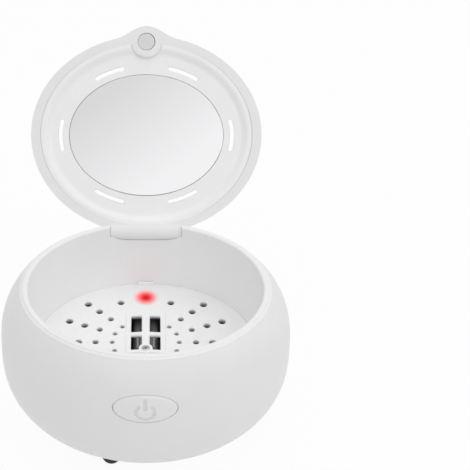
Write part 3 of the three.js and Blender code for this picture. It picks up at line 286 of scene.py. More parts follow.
class Finishes(bpy.types.PropertyGroup):
    """Colours of the pieces."""

    shell_white: tint("Shell white", "Housing, lid and button", (0.865, 0.865, 0.865))
    liner_white: tint("Liner white", "Bowl and lid lining", (0.925, 0.925, 0.925))
    tray_white: tint("Tray white", "Tray and grille", (0.95, 0.95, 0.95))
    glow_red: tint("Glow red", "Light of the indicator in the tray", (1.0, 0.1, 0.11))
    core_red: tint("Core red", "Middle of the indicator", (0.7, 0.006, 0.012))
    mirror_tint: tint("Mirror tint", "Silvering of the mirror", (0.892, 0.892, 0.904))
    # Painted shade: the clear lamp tube is given this opaque dark grey for the shaded well seen through it.
    glass_shade_tint: tint("Glass tint", "Lamp tube", (0.16, 0.164, 0.168))
    steel_tint: tint("Steel tint", "Screws, pin and inlet", (0.6, 0.61, 0.62))
    aluminium_tint: tint("Aluminium tint", "Reflector and heater plate", (0.28, 0.285, 0.29))
    # Painted shade: the lamp holder is darkened for the shade in the well under the tray.
    ceramic_shade_tint: tint("Ceramic tint", "Lamp holder", (0.07, 0.066, 0.062))
    # Painted shade: this dark grey stands for the shade in the well, down the tray's holes and on the
    # reflector and heater plate.
    well_shade_tint: tint("Well tint", "Coat of the well, reflector and heater plate", (0.12, 0.121, 0.123))
    board_tint: tint("Board tint", "Circuit boards", (0.012, 0.09, 0.035))
    copper_tint: tint("Copper tint", "Windings and contacts", (0.48, 0.21, 0.09))
    black_tint: tint("Black tint", "Moulded black plastic", (0.012, 0.012, 0.013))
    rubber_tint: tint("Rubber tint", "Feet", (0.008, 0.008, 0.008))
    magnet_tint: tint("Magnet tint", "Plating of the magnet", (0.7, 0.7, 0.7))
    stone_tint: tint("Stone tint", "Heater element", (0.13, 0.12, 0.1))
    foam_tint: tint("Foam tint", "Tape behind the mirror", (0.32, 0.32, 0.3))


class StageSettings(bpy.types.PropertyGroup):
    """Camera and lights."""

    camera_lift: turn("Camera lift", "Height of the view above the horizon", 41.16)
    camera_turn: turn("Camera turn", "Turn of the view to the right", 0.2)
    camera_distance: length("Camera distance", "From the camera to what it looks at", 0.428)
    camera_target: length("Camera target", "Height of what it looks at", 0.0228)
    camera_lens: FloatProperty(
        name="Lens", description="Focal length", default=111.5, subtype="DISTANCE_CAMERA")
    shift_x: figure("Shift across", "Sideways shift of the frame", 0.190)
    shift_y: figure("Shift up", "Upward shift of the frame", 0.244)
    ambient: figure("Ambient", "Strength of the surrounding light", 0.37)
    ambient_high: figure("Ambient overhead", "The same overhead", 0.91)
    shine_lift: figure("Shine lift", "Height of the soft edge in the room", 0.7815)
    shine_slope: FloatVectorProperty(
        name="Shine slope", description="Way and sharpness of that edge", default=(10.0, 0.0, -20.4))
    key: watts("Key light", "Power of the large light on the right", 0.62)
    fill: watts("Fill light", "Power of the light on the left", 0.08)
    front: watts("Front light", "Power of the light in front", 0.38)
    top: watts("Top light", "Power of the light overhead", 0.6)


# Moulding helpers
def chosen(group):
    """One group of the sizes, colours or settings."""
    return getattr(bpy.context.scene, "dryer_" + group)


def only(piece):
    """Makes one piece the selected and active one."""
    bpy.ops.object.select_all(action="DESELECT")
    piece.select_set(True)
    bpy.context.view_layer.objects.active = piece


def started(name, primitive, **how):
    """A new primitive, left in edit mode with all of it selected."""
    bpy.ops.object.select_all(action="DESELECT")
    primitive(**how)
    piece = bpy.context.object
    piece.name = name
    bpy.ops.object.mode_set(mode="EDIT")
    bpy.ops.mesh.select_all(action="SELECT")
    return piece


def sized(half_width, half_depth, height):
    """Gives the selected outline its size and its height."""
    bpy.ops.transform.resize(value=(half_width, half_depth, 1), center_override=(0, 0, 0))
    bpy.ops.transform.translate(value=(0, 0, height))


def oval(name, ring, sides, filled=True):
    """A flat oval, (half width, half depth, height), left in edit mode with all of it selected."""
    fill = "NGON" if filled else "NOTHING"
    piece = started(name, bpy.ops.mesh.primitive_circle_add, vertices=sides, radius=1, fill_type=fill)
    sized(*ring)
    return piece


def rounded_plate(name, ring, corner, steps=6):
    """A flat rectangle with round corners, left in edit mode with all of it selected."""
    piece = started(name, bpy.ops.mesh.primitive_plane_add, size=2)
    sized(*ring)
    bpy.ops.mesh.bevel(affect="VERTICES", offset=corner, segments=steps)
    bpy.ops.mesh.select_all(action="SELECT")
    return piece


def raise_through(rings, closed=False):
    """Extrudes the selected outline through the other rings and ends the solid."""
    for before, ring in zip(rings, rings[1:]):
        bpy.ops.mesh.extrude_region_move(TRANSFORM_OT_translate={"value": (0, 0, ring[2] - before[2])})
        bpy.ops.transform.resize(
            value=(ring[0] / before[0], ring[1] / before[1], 1), center_override=(0, 0, ring[2]))
    if closed:
        bpy.ops.mesh.select_all(action="DESELECT")
        bpy.ops.mesh.select_non_manifold(extend=False)
        bpy.ops.mesh.bridge_edge_loops()
    close_solid()


def close_solid():
    """Turns every face outwards and leaves edit mode."""
    bpy.ops.mesh.select_all(action="SELECT")
    bpy.ops.mesh.normals_make_consistent(inside=False)
    bpy.ops.object.mode_set(mode="OBJECT")


def face_outwards(piece):
    """Turns a reshaped piece's faces outwards."""
    only(piece)
    bpy.ops.object.mode_set(mode="EDIT")
    close_solid()


def loft(name, rings, sides, closed=False):
    """A solid through a stack of oval rings."""
    piece = oval(name, rings[0], sides, filled=not closed)
    raise_through(rings, closed)
    return piece


def rounded_loft(name, rings, corner, steps=6):
    """A solid through a stack of rounded rectangles."""
    piece = rounded_plate(name, rings[0], corner, steps)
    raise_through(rings)
    return piece


def block(name, low, high, bevel=0.0, steps=3):
    """A box between two corners, with all its edges rounded."""
    piece = started(name, bpy.ops.mesh.primitive_cube_add, size=1)
    size = [far - near for near, far in zip(low, high)]
    middle = [(far + near) / 2 for near, far in zip(low, high)]
    bpy.ops.transform.resize(value=size, center_override=(0, 0, 0))
    bpy.ops.transform.translate(value=middle)
    if bevel:
        bpy.ops.mesh.bevel(affect="EDGES", offset=bevel, segments=steps)
    close_solid()
    return piece


def place(piece, matrix):
    """Moves a piece and writes its place into its mesh."""
    only(piece)
    piece.matrix_world = matrix
    bpy.ops.object.transform_apply(location=True, rotation=True, scale=True)
    return piece


def turned_about(centre, angle, axis):
    """A turn about a point."""
    return Matrix.Translation(centre) @ Matrix.Rotation(angle, 4, axis) @ Matrix.Translation(-centre)


def moved(piece, x, y):
    """Moves a piece sideways."""
    return place(piece, Matrix.Translation((x, y, 0)))


def rod(name, radius, low, high, at=(0.0, 0.0), sides=32, round_edge=0.0):
    """An upright rod at a place, with rounded ends where it shows."""
    rings = [circle(radius, low), circle(radius, high)]
    if round_edge:
        rings = rounded_end(radius, radius, low, high, round_edge)
    piece = loft(name, rings, sides)
    return moved(piece, *at)


def rounded_end(half_width, half_depth, low, high, edge, steps=4):
    """Rings of a short rod whose upper and lower edges are rounded."""
    rings = []
    for step in range(steps + 1):
        angle = step / steps * math.pi / 2
        inset = edge * (1 - math.sin(angle))
        rings.append((half_width - inset, half_depth - inset, low + edge * (1 - math.cos(angle))))
    for step in range(steps + 1):
        angle = step / steps * math.pi / 2
        inset = edge * (1 - math.cos(angle))
        rings.append((half_width - inset, half_depth - inset, high - edge * (1 - math.sin(angle))))
    return rings


def rod_along_x(name, radius, low, high, y, z, sides=48, round_edge=0.0):
    """A rod along X."""
    piece = rod(name, radius, low, high, sides=sides, round_edge=round_edge)
    return place(piece, Matrix.Translation((0, y, z)) @ Matrix.Rotation(math.radians(90), 4, "Y"))


def mouth(half_width, half_depth, bottom, top, edge, steps=4):
    """Rings of a cutter whose upper end opens out in a curve, so that the hole's edge is rounded."""
    rings = [(half_width, half_depth, bottom)]
    for step in range(steps + 1):
        angle = step / steps * math.pi / 2
        growth = edge * (1 - math.cos(angle))
        rings.append((half_width + growth, half_depth + growth, top - edge * (1 - math.sin(angle))))
    rings.append((half_width + edge, half_depth + edge, top + OVER))
    return rings


def reshape(piece, rule):
    """Moves every point of a piece by a rule."""
    for vertex in piece.data.vertices:
        vertex.co = rule(vertex.co.copy())
    face_outwards(piece)
    return piece


def joined(name, pieces):
    """Several separate solids as one object."""
    only(pieces[0])
    for piece in pieces[1:]:
        piece.select_set(True)
    bpy.ops.object.join()
    pieces[0].name = name
    return pieces[0]


def copied(piece, name):
    """A copy with its own mesh."""
    twin = piece.copy()
    twin.data = piece.data.copy()
    twin.name = name
    bpy.context.scene.collection.objects.link(twin)
    return twin


def is_closed(piece):
    """Whether every edge of a piece joins two faces."""
    uses = {}
    for polygon in piece.data.polygons:
        for key in polygon.edge_keys:
            uses[key] = uses.get(key, 0) + 1
    return bool(uses) and all(count == 2 for count in uses.values())


def combine(piece, other, operation):
    """Cuts a piece with another one, or adds the other one to it, and uses it up."""
    start = piece.data.copy()
    for tolerant in (False, True):
        only(piece)
        modifier = piece.modifiers.new("combine", "BOOLEAN")
        modifier.operation = operation
        modifier.solver = "EXACT"
        modifier.use_hole_tolerant = tolerant
        modifier.object = other
        bpy.ops.object.modifier_apply(modifier=modifier.name)
        if is_closed(piece):
            break
        if not tolerant:
            piece.data = start.copy()
    if not piece.data.polygons:
        raise RuntimeError(piece.name + " was lost when it met " + other.name)
    bpy.data.objects.remove(other, do_unlink=True)
    return piece


def cut(piece, other):
    return combine(piece, other, "DIFFERENCE")


def add(piece, other):
    return combine(piece, other, "UNION")


def settle(piece, body, slot, *nodes, finish=None, crease=34):
    """Shades a finished piece, gives it its material, ties it to its body and hides the CAD nodes that it
    stands in for.
    """
    only(piece)
    bpy.ops.object.mode_set(mode="EDIT")
    bpy.ops.mesh.select_all(action="SELECT")
    bpy.ops.mesh.remove_doubles(threshold=0.000002)
    close_solid()
    bpy.ops.object.shade_smooth_by_angle(angle=math.radians(crease))
    flat = piece.modifiers.new("flat faces", "WEIGHTED_NORMAL")
    flat.keep_sharp = True
    bpy.ops.object.modifier_apply(modifier=flat.name)
    piece.data.materials.clear()
    piece.data.materials.append(made(finish or slot))
    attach(piece, body)
    if nodes:
        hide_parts(*nodes)
    return piece


# Shared shapes, worked out from the sizes
def pebble_limits(height, inset):
    form = chosen("form")
    if height < form.belly_height:
        return form.lower_reach - inset, form.lower_power
    return form.upper_reach - inset, form.upper_power


def pebble_ring(height, inset=0.0):
    """Section of the pebble at a height, set in from the outside."""
    form = chosen("form")
    reach, power = pebble_limits(height, inset)
    climb = min(abs(height - form.belly_height) / reach, 1.0)
    share = max(1 - climb ** power, 0.0) ** (1 / power)
    return ((form.half_width - inset) * share, (form.half_depth - inset) * share, height)


def pebble_heights(low, high, inset, count):
    """Heights between two levels, closer together where the pebble curves in."""
    form = chosen("form")

    def angle_at(height):
        reach, power = pebble_limits(height, inset)
        climb = min(abs(height - form.belly_height) / reach, 1.0)
        return math.copysign(math.asin(climb ** (power / 2)), height - form.belly_height)

    def height_at(angle):
        reach, power = pebble_limits(form.belly_height + angle, inset)
        return form.belly_height + math.copysign(reach * abs(math.sin(angle)) ** (2 / power), angle)

    start = angle_at(low)
    end = angle_at(high)
    middle = [height_at(start + (end - start) * step / count) for step in range(1, count)]
    return [low] + middle + [high]


def pebble_rings(low, high, inset, count):
    return [pebble_ring(height, inset) for height in pebble_heights(low, high, inset, count)]


def pebble_surface(x, height, inset=0.0):
    """How far the pebble reaches to the front or back at a place."""
    half_width, half_depth, _ = pebble_ring(height, inset)
    across = min(abs(x) / half_width, ALMOST)
    return half_depth * math.sqrt(1 - across * across)


def grown(ring, amount):
    return (ring[0] + amount, ring[1] + amount, ring[2])


def at_height(ring, height):
    return (ring[0], ring[1], height)


def circle(radius, height):
    return (radius, radius, height)


def edge_rings(ring, points):
    """Rings of a section's rounded edge, through (growth, height) points."""
    return [at_height(grown(ring, along), up) for along, up in points]


def rim_inside():
    form = chosen("form")
    return grown(pebble_ring(form.seam_height), -chosen("bowl").rim_width)


def bowl_inside(height):
    """Inside of the bowl at a height."""
    form = chosen("form")
    bowl = chosen("bowl")
    rim = rim_inside()
    share = (form.seam_height - height) / (form.seam_height - bowl.tray_top)
    return (
        rim[0] + (form.half_width - bowl.side_inset - rim[0]) * share,
        rim[1] + (form.half_depth - bowl.end_inset - rim[1]) * share,
        height,
    )


def tray_bottom():
    bowl = chosen("bowl")
    return bowl.tray_top - bowl.tray_thickness


def well_inside():
    return grown(bowl_inside(tray_bottom()), -chosen("bowl").seat_width)


def lid_plane():
    form = chosen("form")
    return form.seam_height + form.seam_gap


def cover_ring():
    return grown(pebble_ring(0.0), -chosen("base").cover_margin)


def ledge_hole():
    return grown(cover_ring(), -chosen("base").ledge)


def foot_places():
    boxes = [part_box("foot_" + str(number)) for number in range(1, 5)]
    return [((low + high) / 2).to_2d() for low, high in boxes]


def base_screw_places():
    boxes = [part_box("base_screw_" + str(number)) for number in range(1, 5)]
    return [((low + high) / 2).to_2d() for low, high in boxes]


def arc(centre, radius, start, end, steps):
    """Points of a quarter or other arc, each (along, up), from one angle to another in degrees."""
    points = []
    for step in range(steps + 1):
        angle = math.radians(start + (end - start) * step / steps)
        points.append((centre[0] + radius * math.cos(angle), centre[1] + radius * math.sin(angle)))
    return points


# Materials
def new_group(name, inputs, outputs):
    """A shader node group with named sockets, each (name, socket type, default)."""
    group = bpy.data.node_groups.new(name, "ShaderNodeTree")
    for label, kind, default in inputs:
        socket = group.interface.new_socket(label, in_out="INPUT", socket_type=kind)
        socket.default_value = default
    for label, kind in outputs:
        group.interface.new_socket(label, in_out="OUTPUT", socket_type=kind)
    return group, group.nodes.new("NodeGroupInput"), group.nodes.new("NodeGroupOutput")


def reckoned(nodes, link, operation, *values, kind="Math", result="Value"):
    """The result of a maths node, from sockets and plain values."""
    node = nodes.new("ShaderNode" + kind)
    node.operation = operation
    for socket, value in zip(node.inputs, values):
        if isinstance(value, bpy.types.NodeSocket):
            link(value, socket)
        else:
            socket.default_value = value
    return node.outputs[result]


def own_place(nodes):
    """The piece's own coordinates."""
    return nodes.new("ShaderNodeTexCoord").outputs["Object"]


def noise_on(nodes, link, scale, detail):
    """A noise on the piece's own coordinates."""
    noise = nodes.new("ShaderNodeTexNoise")
    noise.inputs["Scale"].default_value = scale
    noise.inputs["Detail"].default_value = detail
    link(own_place(nodes), noise.inputs["Vector"])
    return noise.outputs["Fac"]


def from_height(nodes, link, low, high):
    """0 below one height of the piece and 1 above another."""
    split = nodes.new("ShaderNodeSeparateXYZ")
    link(own_place(nodes), split.inputs["Vector"])
    return ranged(nodes, link, split.outputs["Z"], 0.0, 1.0, low, high)


def moulding_group():
    """Fine spark-eroded grain with a faint slow mottle, as moulded plastic has."""
    found = bpy.data.node_groups.get("moulded_grain")
    if found:
        return found
    group, given, out = new_group(
        "moulded_grain",
        [("Grain Scale", "NodeSocketFloat", 3200.0), ("Mottle Scale", "NodeSocketFloat", 90.0)],
        [("Grain", "NodeSocketFloat"), ("Mottle", "NodeSocketFloat")])
    nodes = group.nodes
    link = group.links.new
    grain = nodes.new("ShaderNodeTexNoise")
    grain.inputs["Detail"].default_value = 3.0
    cells = nodes.new("ShaderNodeTexVoronoi")
    mottle = nodes.new("ShaderNodeTexNoise")
    mottle.inputs["Detail"].default_value = 4.0
    mottle.inputs["Roughness"].default_value = 0.6
    place_out = own_place(nodes)
    for node, scale in ((grain, "Grain Scale"), (cells, "Grain Scale"), (mottle, "Mottle Scale")):
        link(place_out, node.inputs["Vector"])
        link(given.outputs[scale], node.inputs["Scale"])
    blend = reckoned(nodes, link, "MULTIPLY_ADD", cells.outputs["Distance"], 0.5, grain.outputs["Fac"])
    link(blend, out.inputs["Grain"])
    link(mottle.outputs["Fac"], out.inputs["Mottle"])
    return group


def made(name):
    """A finish of this scene. The plain materials of the CAD have the same names without the ending."""
    return bpy.data.materials[name + "_finish"]


def start_material(name, roughness, metallic=0.0):
    material = bpy.data.materials.new(name + "_finish")
    material.use_nodes = True
    nodes = material.node_tree.nodes
    shader = nodes["Principled BSDF"]
    shader.inputs["Roughness"].default_value = roughness
    shader.inputs["Metallic"].default_value = metallic
    return material, nodes, material.node_tree.links.new, shader


def mixed(nodes, link, factor, first, second):
    """A colour between two, chosen by a factor."""
    mix = nodes.new("ShaderNodeMix")
    mix.data_type = "RGBA"
    link(factor, mix.inputs["Factor"])
    for socket, colour in ((mix.inputs[6], first), (mix.inputs[7], second)):
        if isinstance(colour, bpy.types.NodeSocket):
            link(colour, socket)
        else:
            socket.default_value = (*colour, 1.0)
    return mix.outputs[2]


def ranged(nodes, link, value, low, high, start=0.0, end=1.0):
    """A value carried from one range into another."""
    node = nodes.new("ShaderNodeMapRange")
    node.inputs["From Min"].default_value = start
    node.inputs["From Max"].default_value = end
    node.inputs["To Min"].default_value = low
    node.inputs["To Max"].default_value = high
    link(value, node.inputs["Value"])
    return node.outputs["Result"]


def bumped(nodes, link, shader, height, strength, distance):
    bump = nodes.new("ShaderNodeBump")
    bump.inputs["Strength"].default_value = strength
    bump.inputs["Distance"].default_value = distance
    link(height, bump.inputs["Height"])
    link(bump.outputs["Normal"], shader.inputs["Normal"])


def moulded(name, colour, roughness, grain_scale=3200.0, relief=0.04, shade=0.035):
    """A moulded finish: fine grain, a slow mottle in the colour and an uneven gloss."""
    material, nodes, link, shader = start_material(name, roughness)
    grain = nodes.new("ShaderNodeGroup")
    grain.node_tree = moulding_group()
    grain.inputs["Grain Scale"].default_value = grain_scale
    darker = [part * (1 - shade) for part in colour]
    lighter = [min(part * (1 + shade * 0.6), 1.0) for part in colour]
    base = mixed(nodes, link, grain.outputs["Mottle"], darker, lighter)
    link(base, shader.inputs["Base Color"])
    link(
        ranged(nodes, link, grain.outputs["Mottle"], roughness * 0.9, roughness * 1.12, 0.3, 0.7),
        shader.inputs["Roughness"])
    bumped(nodes, link, shader, grain.outputs["Grain"], relief, 0.00004)
    return material, nodes, link, shader, base


def shell_plastic():
    finish = chosen("finish")
    return moulded("white_shell", finish.shell_white, 0.42)[0]


def liner_plastic():
    """White plastic of the bowl and the lining, with painted shade in the well under the tray."""
    finish = chosen("finish")
    material, nodes, link, shader, base = moulded("white_liner", finish.liner_white, 0.46)
    # Painted shade: the bowl turns dark below the tray's underside, where little light reaches.
    level = tray_bottom()
    fade = 0.0004
    lit = from_height(nodes, link, level - fade, level)
    link(mixed(nodes, link, lit, finish.well_shade_tint, base), shader.inputs["Base Color"])
    return material


def glow_group():
    """How near a point is to the indicator, 1 at its middle and 0 where the light ends."""
    found = bpy.data.node_groups.get("indicator_glow")
    if found:
        return found
    tray = chosen("tray")
    group, given, out = new_group(
        "indicator_glow", [("Reach", "NodeSocketFloat", tray.glow_radius)], [("Near", "NodeSocketFloat")])
    nodes = group.nodes
    link = group.links.new
    flat = reckoned(
        nodes, link, "MULTIPLY", own_place(nodes), (1, 1, 0), kind="VectorMath", result="Vector")
    away = reckoned(nodes, link, "DISTANCE", flat, (0, tray.led_y, 0), kind="VectorMath")
    share = reckoned(nodes, link, "DIVIDE", away, given.outputs["Reach"])
    near = reckoned(nodes, link, "SUBTRACT", 1.0, share)
    near.node.use_clamp = True
    link(near, out.inputs["Near"])
    return group


def lit_red(nodes, link, shader, base):
    """Paints the indicator's red light into a colour and into emission, deepest in the middle."""
    finish = chosen("finish")
    glow = nodes.new("ShaderNodeGroup")
    glow.node_tree = glow_group()
    glow.inputs["Reach"].default_value = chosen("tray").glow_radius
    near = glow.outputs["Near"]
    halo = ranged(nodes, link, near, 0.0, 1.0, 0.0, 0.76)
    halo.node.interpolation_type = "SMOOTHERSTEP"
    heart = ranged(nodes, link, near, 0.0, 1.0, 0.55, 0.92)
    heart.node.interpolation_type = "SMOOTHSTEP"
    red = mixed(nodes, link, heart, finish.glow_red, finish.core_red)
    link(mixed(nodes, link, halo, base, red), shader.inputs["Base Color"])
    # Painted light: the red glow is also given off as emission, on the tray round the indicator as on the
    # lens.
    link(mixed(nodes, link, halo, (0.0, 0.0, 0.0), red), shader.inputs["Emission Color"])
    shader.inputs["Emission Strength"].default_value = 0.17


def tray_plastic():
    """White tray plastic with painted shade down its holes and the indicator's red light painted round it.
    """
    finish = chosen("finish")
    material, nodes, link, shader, base = moulded("white_tray", finish.tray_white, 0.5)
    top = chosen("bowl").tray_top
    # Painted shade: the holes' walls and the tray's underside turn dark below the top face.
    dark_from = top - 0.0017
    lit_from = top - 0.0003
    lit = from_height(nodes, link, dark_from, lit_from)
    lit_red(nodes, link, shader, mixed(nodes, link, lit, finish.well_shade_tint, base))
    return material


def lens_plastic():
    """Red lens, deepest in its middle."""
    finish = chosen("finish")
    material, nodes, link, shader = start_material("red_lens", 0.35)
    speckle = noise_on(nodes, link, 1500.0, 2.0)
    paler = [min(part * 1.3, 1.0) for part in finish.glow_red]
    lit_red(nodes, link, shader, mixed(nodes, link, speckle, finish.glow_red, paler))
    link(ranged(nodes, link, speckle, 0.3, 0.4), shader.inputs["Roughness"])
    shader.inputs["Specular IOR Level"].default_value = 0.15
    return material


def mirror_finish():
    """Silvered glass with faint smudges."""
    finish = chosen("finish")
    material, nodes, link, shader = start_material("mirror_glass", 0.03, 1.0)
    smudge = noise_on(nodes, link, 60.0, 6.0)
    darker = [part * 0.985 for part in finish.mirror_tint]
    link(mixed(nodes, link, smudge, darker, finish.mirror_tint), shader.inputs["Base Color"])
    link(ranged(nodes, link, smudge, 0.015, 0.06, 0.35, 0.75), shader.inputs["Roughness"])
    return material


def plated_metal(name, colour, roughness, stretch=(1.0, 1.0, 1.0), scale=1800.0):
    """Plated or rolled metal with fine drawn lines."""
    material, nodes, link, shader = start_material(name, roughness, 1.0)
    mapping = nodes.new("ShaderNodeMapping")
    mapping.inputs["Scale"].default_value = stretch
    lines = nodes.new("ShaderNodeTexNoise")
    lines.inputs["Scale"].default_value = scale
    lines.inputs["Detail"].default_value = 4.0
    link(own_place(nodes), mapping.inputs["Vector"])
    link(mapping.outputs["Vector"], lines.inputs["Vector"])
    darker = [part * 0.9 for part in colour]
    link(mixed(nodes, link, lines.outputs["Fac"], darker, colour), shader.inputs["Base Color"])
    link(
        ranged(nodes, link, lines.outputs["Fac"], roughness * 0.8, roughness * 1.25, 0.3, 0.7),
        shader.inputs["Roughness"])
    bumped(nodes, link, shader, lines.outputs["Fac"], 0.15, 0.00002)
    return material


def lamp_glass():
    """Glossy quartz, given an opaque dark grey for the shaded well seen through the clear tube, with a
    slightly cloudy inside.
    """
    finish = chosen("finish")
    material, nodes, link, shader = start_material("lamp_quartz", 0.08)
    cloud = noise_on(nodes, link, 500.0, 5.0)
    paler = [part * 1.5 for part in finish.glass_shade_tint]
    link(mixed(nodes, link, cloud, finish.glass_shade_tint, paler), shader.inputs["Base Color"])
    link(ranged(nodes, link, cloud, 0.05, 0.16, 0.3, 0.7), shader.inputs["Roughness"])
    shader.inputs["Coat Weight"].default_value = 1.0
    shader.inputs["IOR"].default_value = 1.8
    shader.inputs["Coat IOR"].default_value = 2.2
    return material


def board_finish():
    """Circuit board: solder mask over a faint pattern of tracks."""
    finish = chosen("finish")
    material, nodes, link, shader = start_material("board_green", 0.35)
    tracks = nodes.new("ShaderNodeTexBrick")
    tracks.inputs["Scale"].default_value = 260.0
    tracks.inputs["Mortar Size"].default_value = 0.06
    tracks.inputs["Mortar"].default_value = (0.0, 0.0, 0.0, 1.0)
    link(own_place(nodes), tracks.inputs["Vector"])
    paler = [part * 1.8 for part in finish.board_tint]
    link(mixed(nodes, link, tracks.outputs["Fac"], finish.board_tint, paler), shader.inputs["Base Color"])
    link(ranged(nodes, link, tracks.outputs["Fac"], 0.32, 0.45), shader.inputs["Roughness"])
    bumped(nodes, link, shader, tracks.outputs["Fac"], 0.3, 0.00003)
    return material


# Cutters on the housing's curved sides
def wrap_on(piece, height, side, floor=None):
    """Lays a shape drawn flat, with its depth upwards, onto the housing's front (-1) or back (1)."""

    def rule(point):
        level = height + point.y
        reach = pebble_surface(point.x, level) + point.z
        if floor is not None and point.z < floor[0]:
            reach = floor[1]
        return Vector((point.x, side * reach, level))

    return reshape(piece, rule)


def hinge_notch_cutter():
    form = chosen("form")
    housing = chosen("housing")
    back = form.half_depth + OVER
    middle = (housing.notch_floor + form.seam_height + OVER) / 2
    half_height = (form.seam_height + OVER - housing.notch_floor) / 2
    front = rim_inside()[1] / 2
    rings = [(housing.notch_side, half_height, front), (housing.notch_side, half_height, back)]
    piece = rounded_loft("notch_cutter", rings, housing.notch_corner)
    turn_up = Matrix.Translation((0, 0, middle)) @ Matrix.Rotation(math.radians(-90), 4, "X")
    return place(piece, turn_up)


def inlet_plate(name, growth, rings):
    """A solid with the inlet's outline, drawn flat and raised through its depths."""
    inlet = chosen("inlet")
    half_width = inlet.half_width + growth
    half_height = inlet.half_height + growth
    piece = started(name, bpy.ops.mesh.primitive_plane_add, size=2)
    bpy.ops.transform.resize(value=(half_width, half_height, 1), center_override=(0, 0, 0))
    bpy.ops.mesh.select_all(action="DESELECT")
    bpy.ops.object.mode_set(mode="OBJECT")
    for vertex in piece.data.vertices:
        vertex.select = vertex.co.y > 0
    bpy.ops.object.mode_set(mode="EDIT")
    bpy.ops.mesh.bevel(affect="VERTICES", offset=inlet.chamfer, segments=1)
    bpy.ops.mesh.select_all(action="SELECT")
    bpy.ops.transform.translate(value=(0, 0, rings[0][1]))
    stack = [(half_width + extra, half_height + extra, depth) for extra, depth in rings]
    raise_through(stack)
    turn_back = Matrix.Translation((0, 0, inlet.height)) @ Matrix.Rotation(math.radians(-90), 4, "X")
    return place(piece, turn_back)


# Pieces
class DRYER_OT_housing(bpy.types.Operator):
    """Builds the white housing with its button hole, inlet recess, hinge notch and foot seats."""

    bl_idname = "dryer.housing"
    bl_label = "Housing"

    def rings(self):
        form = chosen("form")
        housing = chosen("housing")
        base = chosen("base")
        bowl = chosen("bowl")
        least_gap = 0.00001
        bowl_gap = 0.0003
        top = form.seam_height - bowl.flange - least_gap
        edge = housing.top_round
        rebate = grown(cover_ring(), base.cover_gap)
        ledge_top = housing.ledge_bottom + housing.ledge_thickness
        rings = [at_height(rebate, 0.0)]
        rings += pebble_rings(0.0, top - edge, 0.0, 46)
        for along, up in arc((0, top - edge), edge, 0, 90, 4)[1:]:
            rings.append(at_height(grown(pebble_ring(up), along - edge), up))
        inner = []
        for height in pebble_heights(ledge_top, top, form.wall, 24):
            hollow = pebble_ring(height, form.wall)
            if height > form.belly_height:
                clear = grown(bowl_inside(height), bowl.wall + bowl_gap)
                hollow = (max(hollow[0], clear[0]), max(hollow[1], clear[1]), height)
            inner.append(hollow)
        rings += reversed(inner)
        rings.append(at_height(ledge_hole(), ledge_top))
        rings.append(at_height(ledge_hole(), housing.ledge_bottom))
        rings.append(at_height(rebate, housing.ledge_bottom))
        return rings

    def execute(self, context):
        form = chosen("form")
        housing = chosen("housing")
        button = chosen("button")
        base = chosen("base")
        inlet = chosen("inlet")
        lid = chosen("lid")
        shell = loft("housing", self.rings(), form.sides, closed=True)

        sunk = 0.0001
        pad_low = base.foot_seat - sunk
        boss_low = housing.ledge_bottom + 0.0006
        pads = [rod("pad", base.foot_pad, pad_low, base.foot_pad_top, spot) for spot in foot_places()]
        bosses = [
            rod("boss", base.boss_radius, boss_low, base.boss_top, spot)
            for spot in base_screw_places()]
        inside = loft("inside", pebble_rings(sunk, form.belly_height, sunk * 2, 16), 96)
        shell = add(shell, combine(joined("pads", pads), inside, "INTERSECT"))
        shell = add(shell, joined("bosses", bosses))
        seats = [
            rod("seat", base.foot_radius + base.foot_gap, -OVER * 2, base.foot_seat, spot, 48)
            for spot in foot_places()]
        pilot_top = 0.0076
        pilots = [
            rod("pilot", base.screw_shank + HAIR, -OVER, pilot_top, spot) for spot in base_screw_places()]
        shell = cut(shell, joined("pilots", pilots))
        shell = cut(shell, joined("seats", seats))

        gap = button.gap
        edge = housing.edge_round
        hole_low = -0.012
        hole_rings = mouth(
            button.half_width + gap, button.half_height + gap, hole_low, 0.0, button.hole_round)
        hole = loft("button_cutter", hole_rings, 96)
        shell = cut(shell, wrap_on(hole, button.height, -1))

        recess_low = -0.004
        recess = rounded_loft(
            "recess_cutter",
            mouth(housing.recess_half_width, housing.recess_half_height, recess_low, 0.0, edge),
            housing.recess_corner)
        recess = wrap_on(recess, housing.recess_height, 1, floor=(recess_low + OVER, inlet.front))
        shell = cut(shell, recess)
        mouth_ends = (0.02, 0.04)
        shell = cut(shell, inlet_plate("mouth_cutter", inlet.clear, [(0.0, end) for end in mouth_ends]))
        shell = cut(shell, hinge_notch_cutter())
        pin_reach = 0.01245
        pin = rod_along_x(
            "pin_cutter", lid.pin_radius + HAIR, -pin_reach, pin_reach, lid.hinge_y, lid.hinge_height)
        shell = cut(shell, pin)
        sensor_low, sensor_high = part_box("lid_sensor")
        sensor_at = (sensor_low + sensor_high) / 2
        bore = 0.00105
        spare = 0.0003
        sensor = rod_along_x(
            "sensor_cutter", bore, sensor_low.x - spare, sensor_high.x + spare,
            sensor_at.y, sensor_at.z, 24)
        shell = cut(shell, sensor)
        settle(shell, "base", "white_shell", "outer_shell")
        return {"FINISHED"}


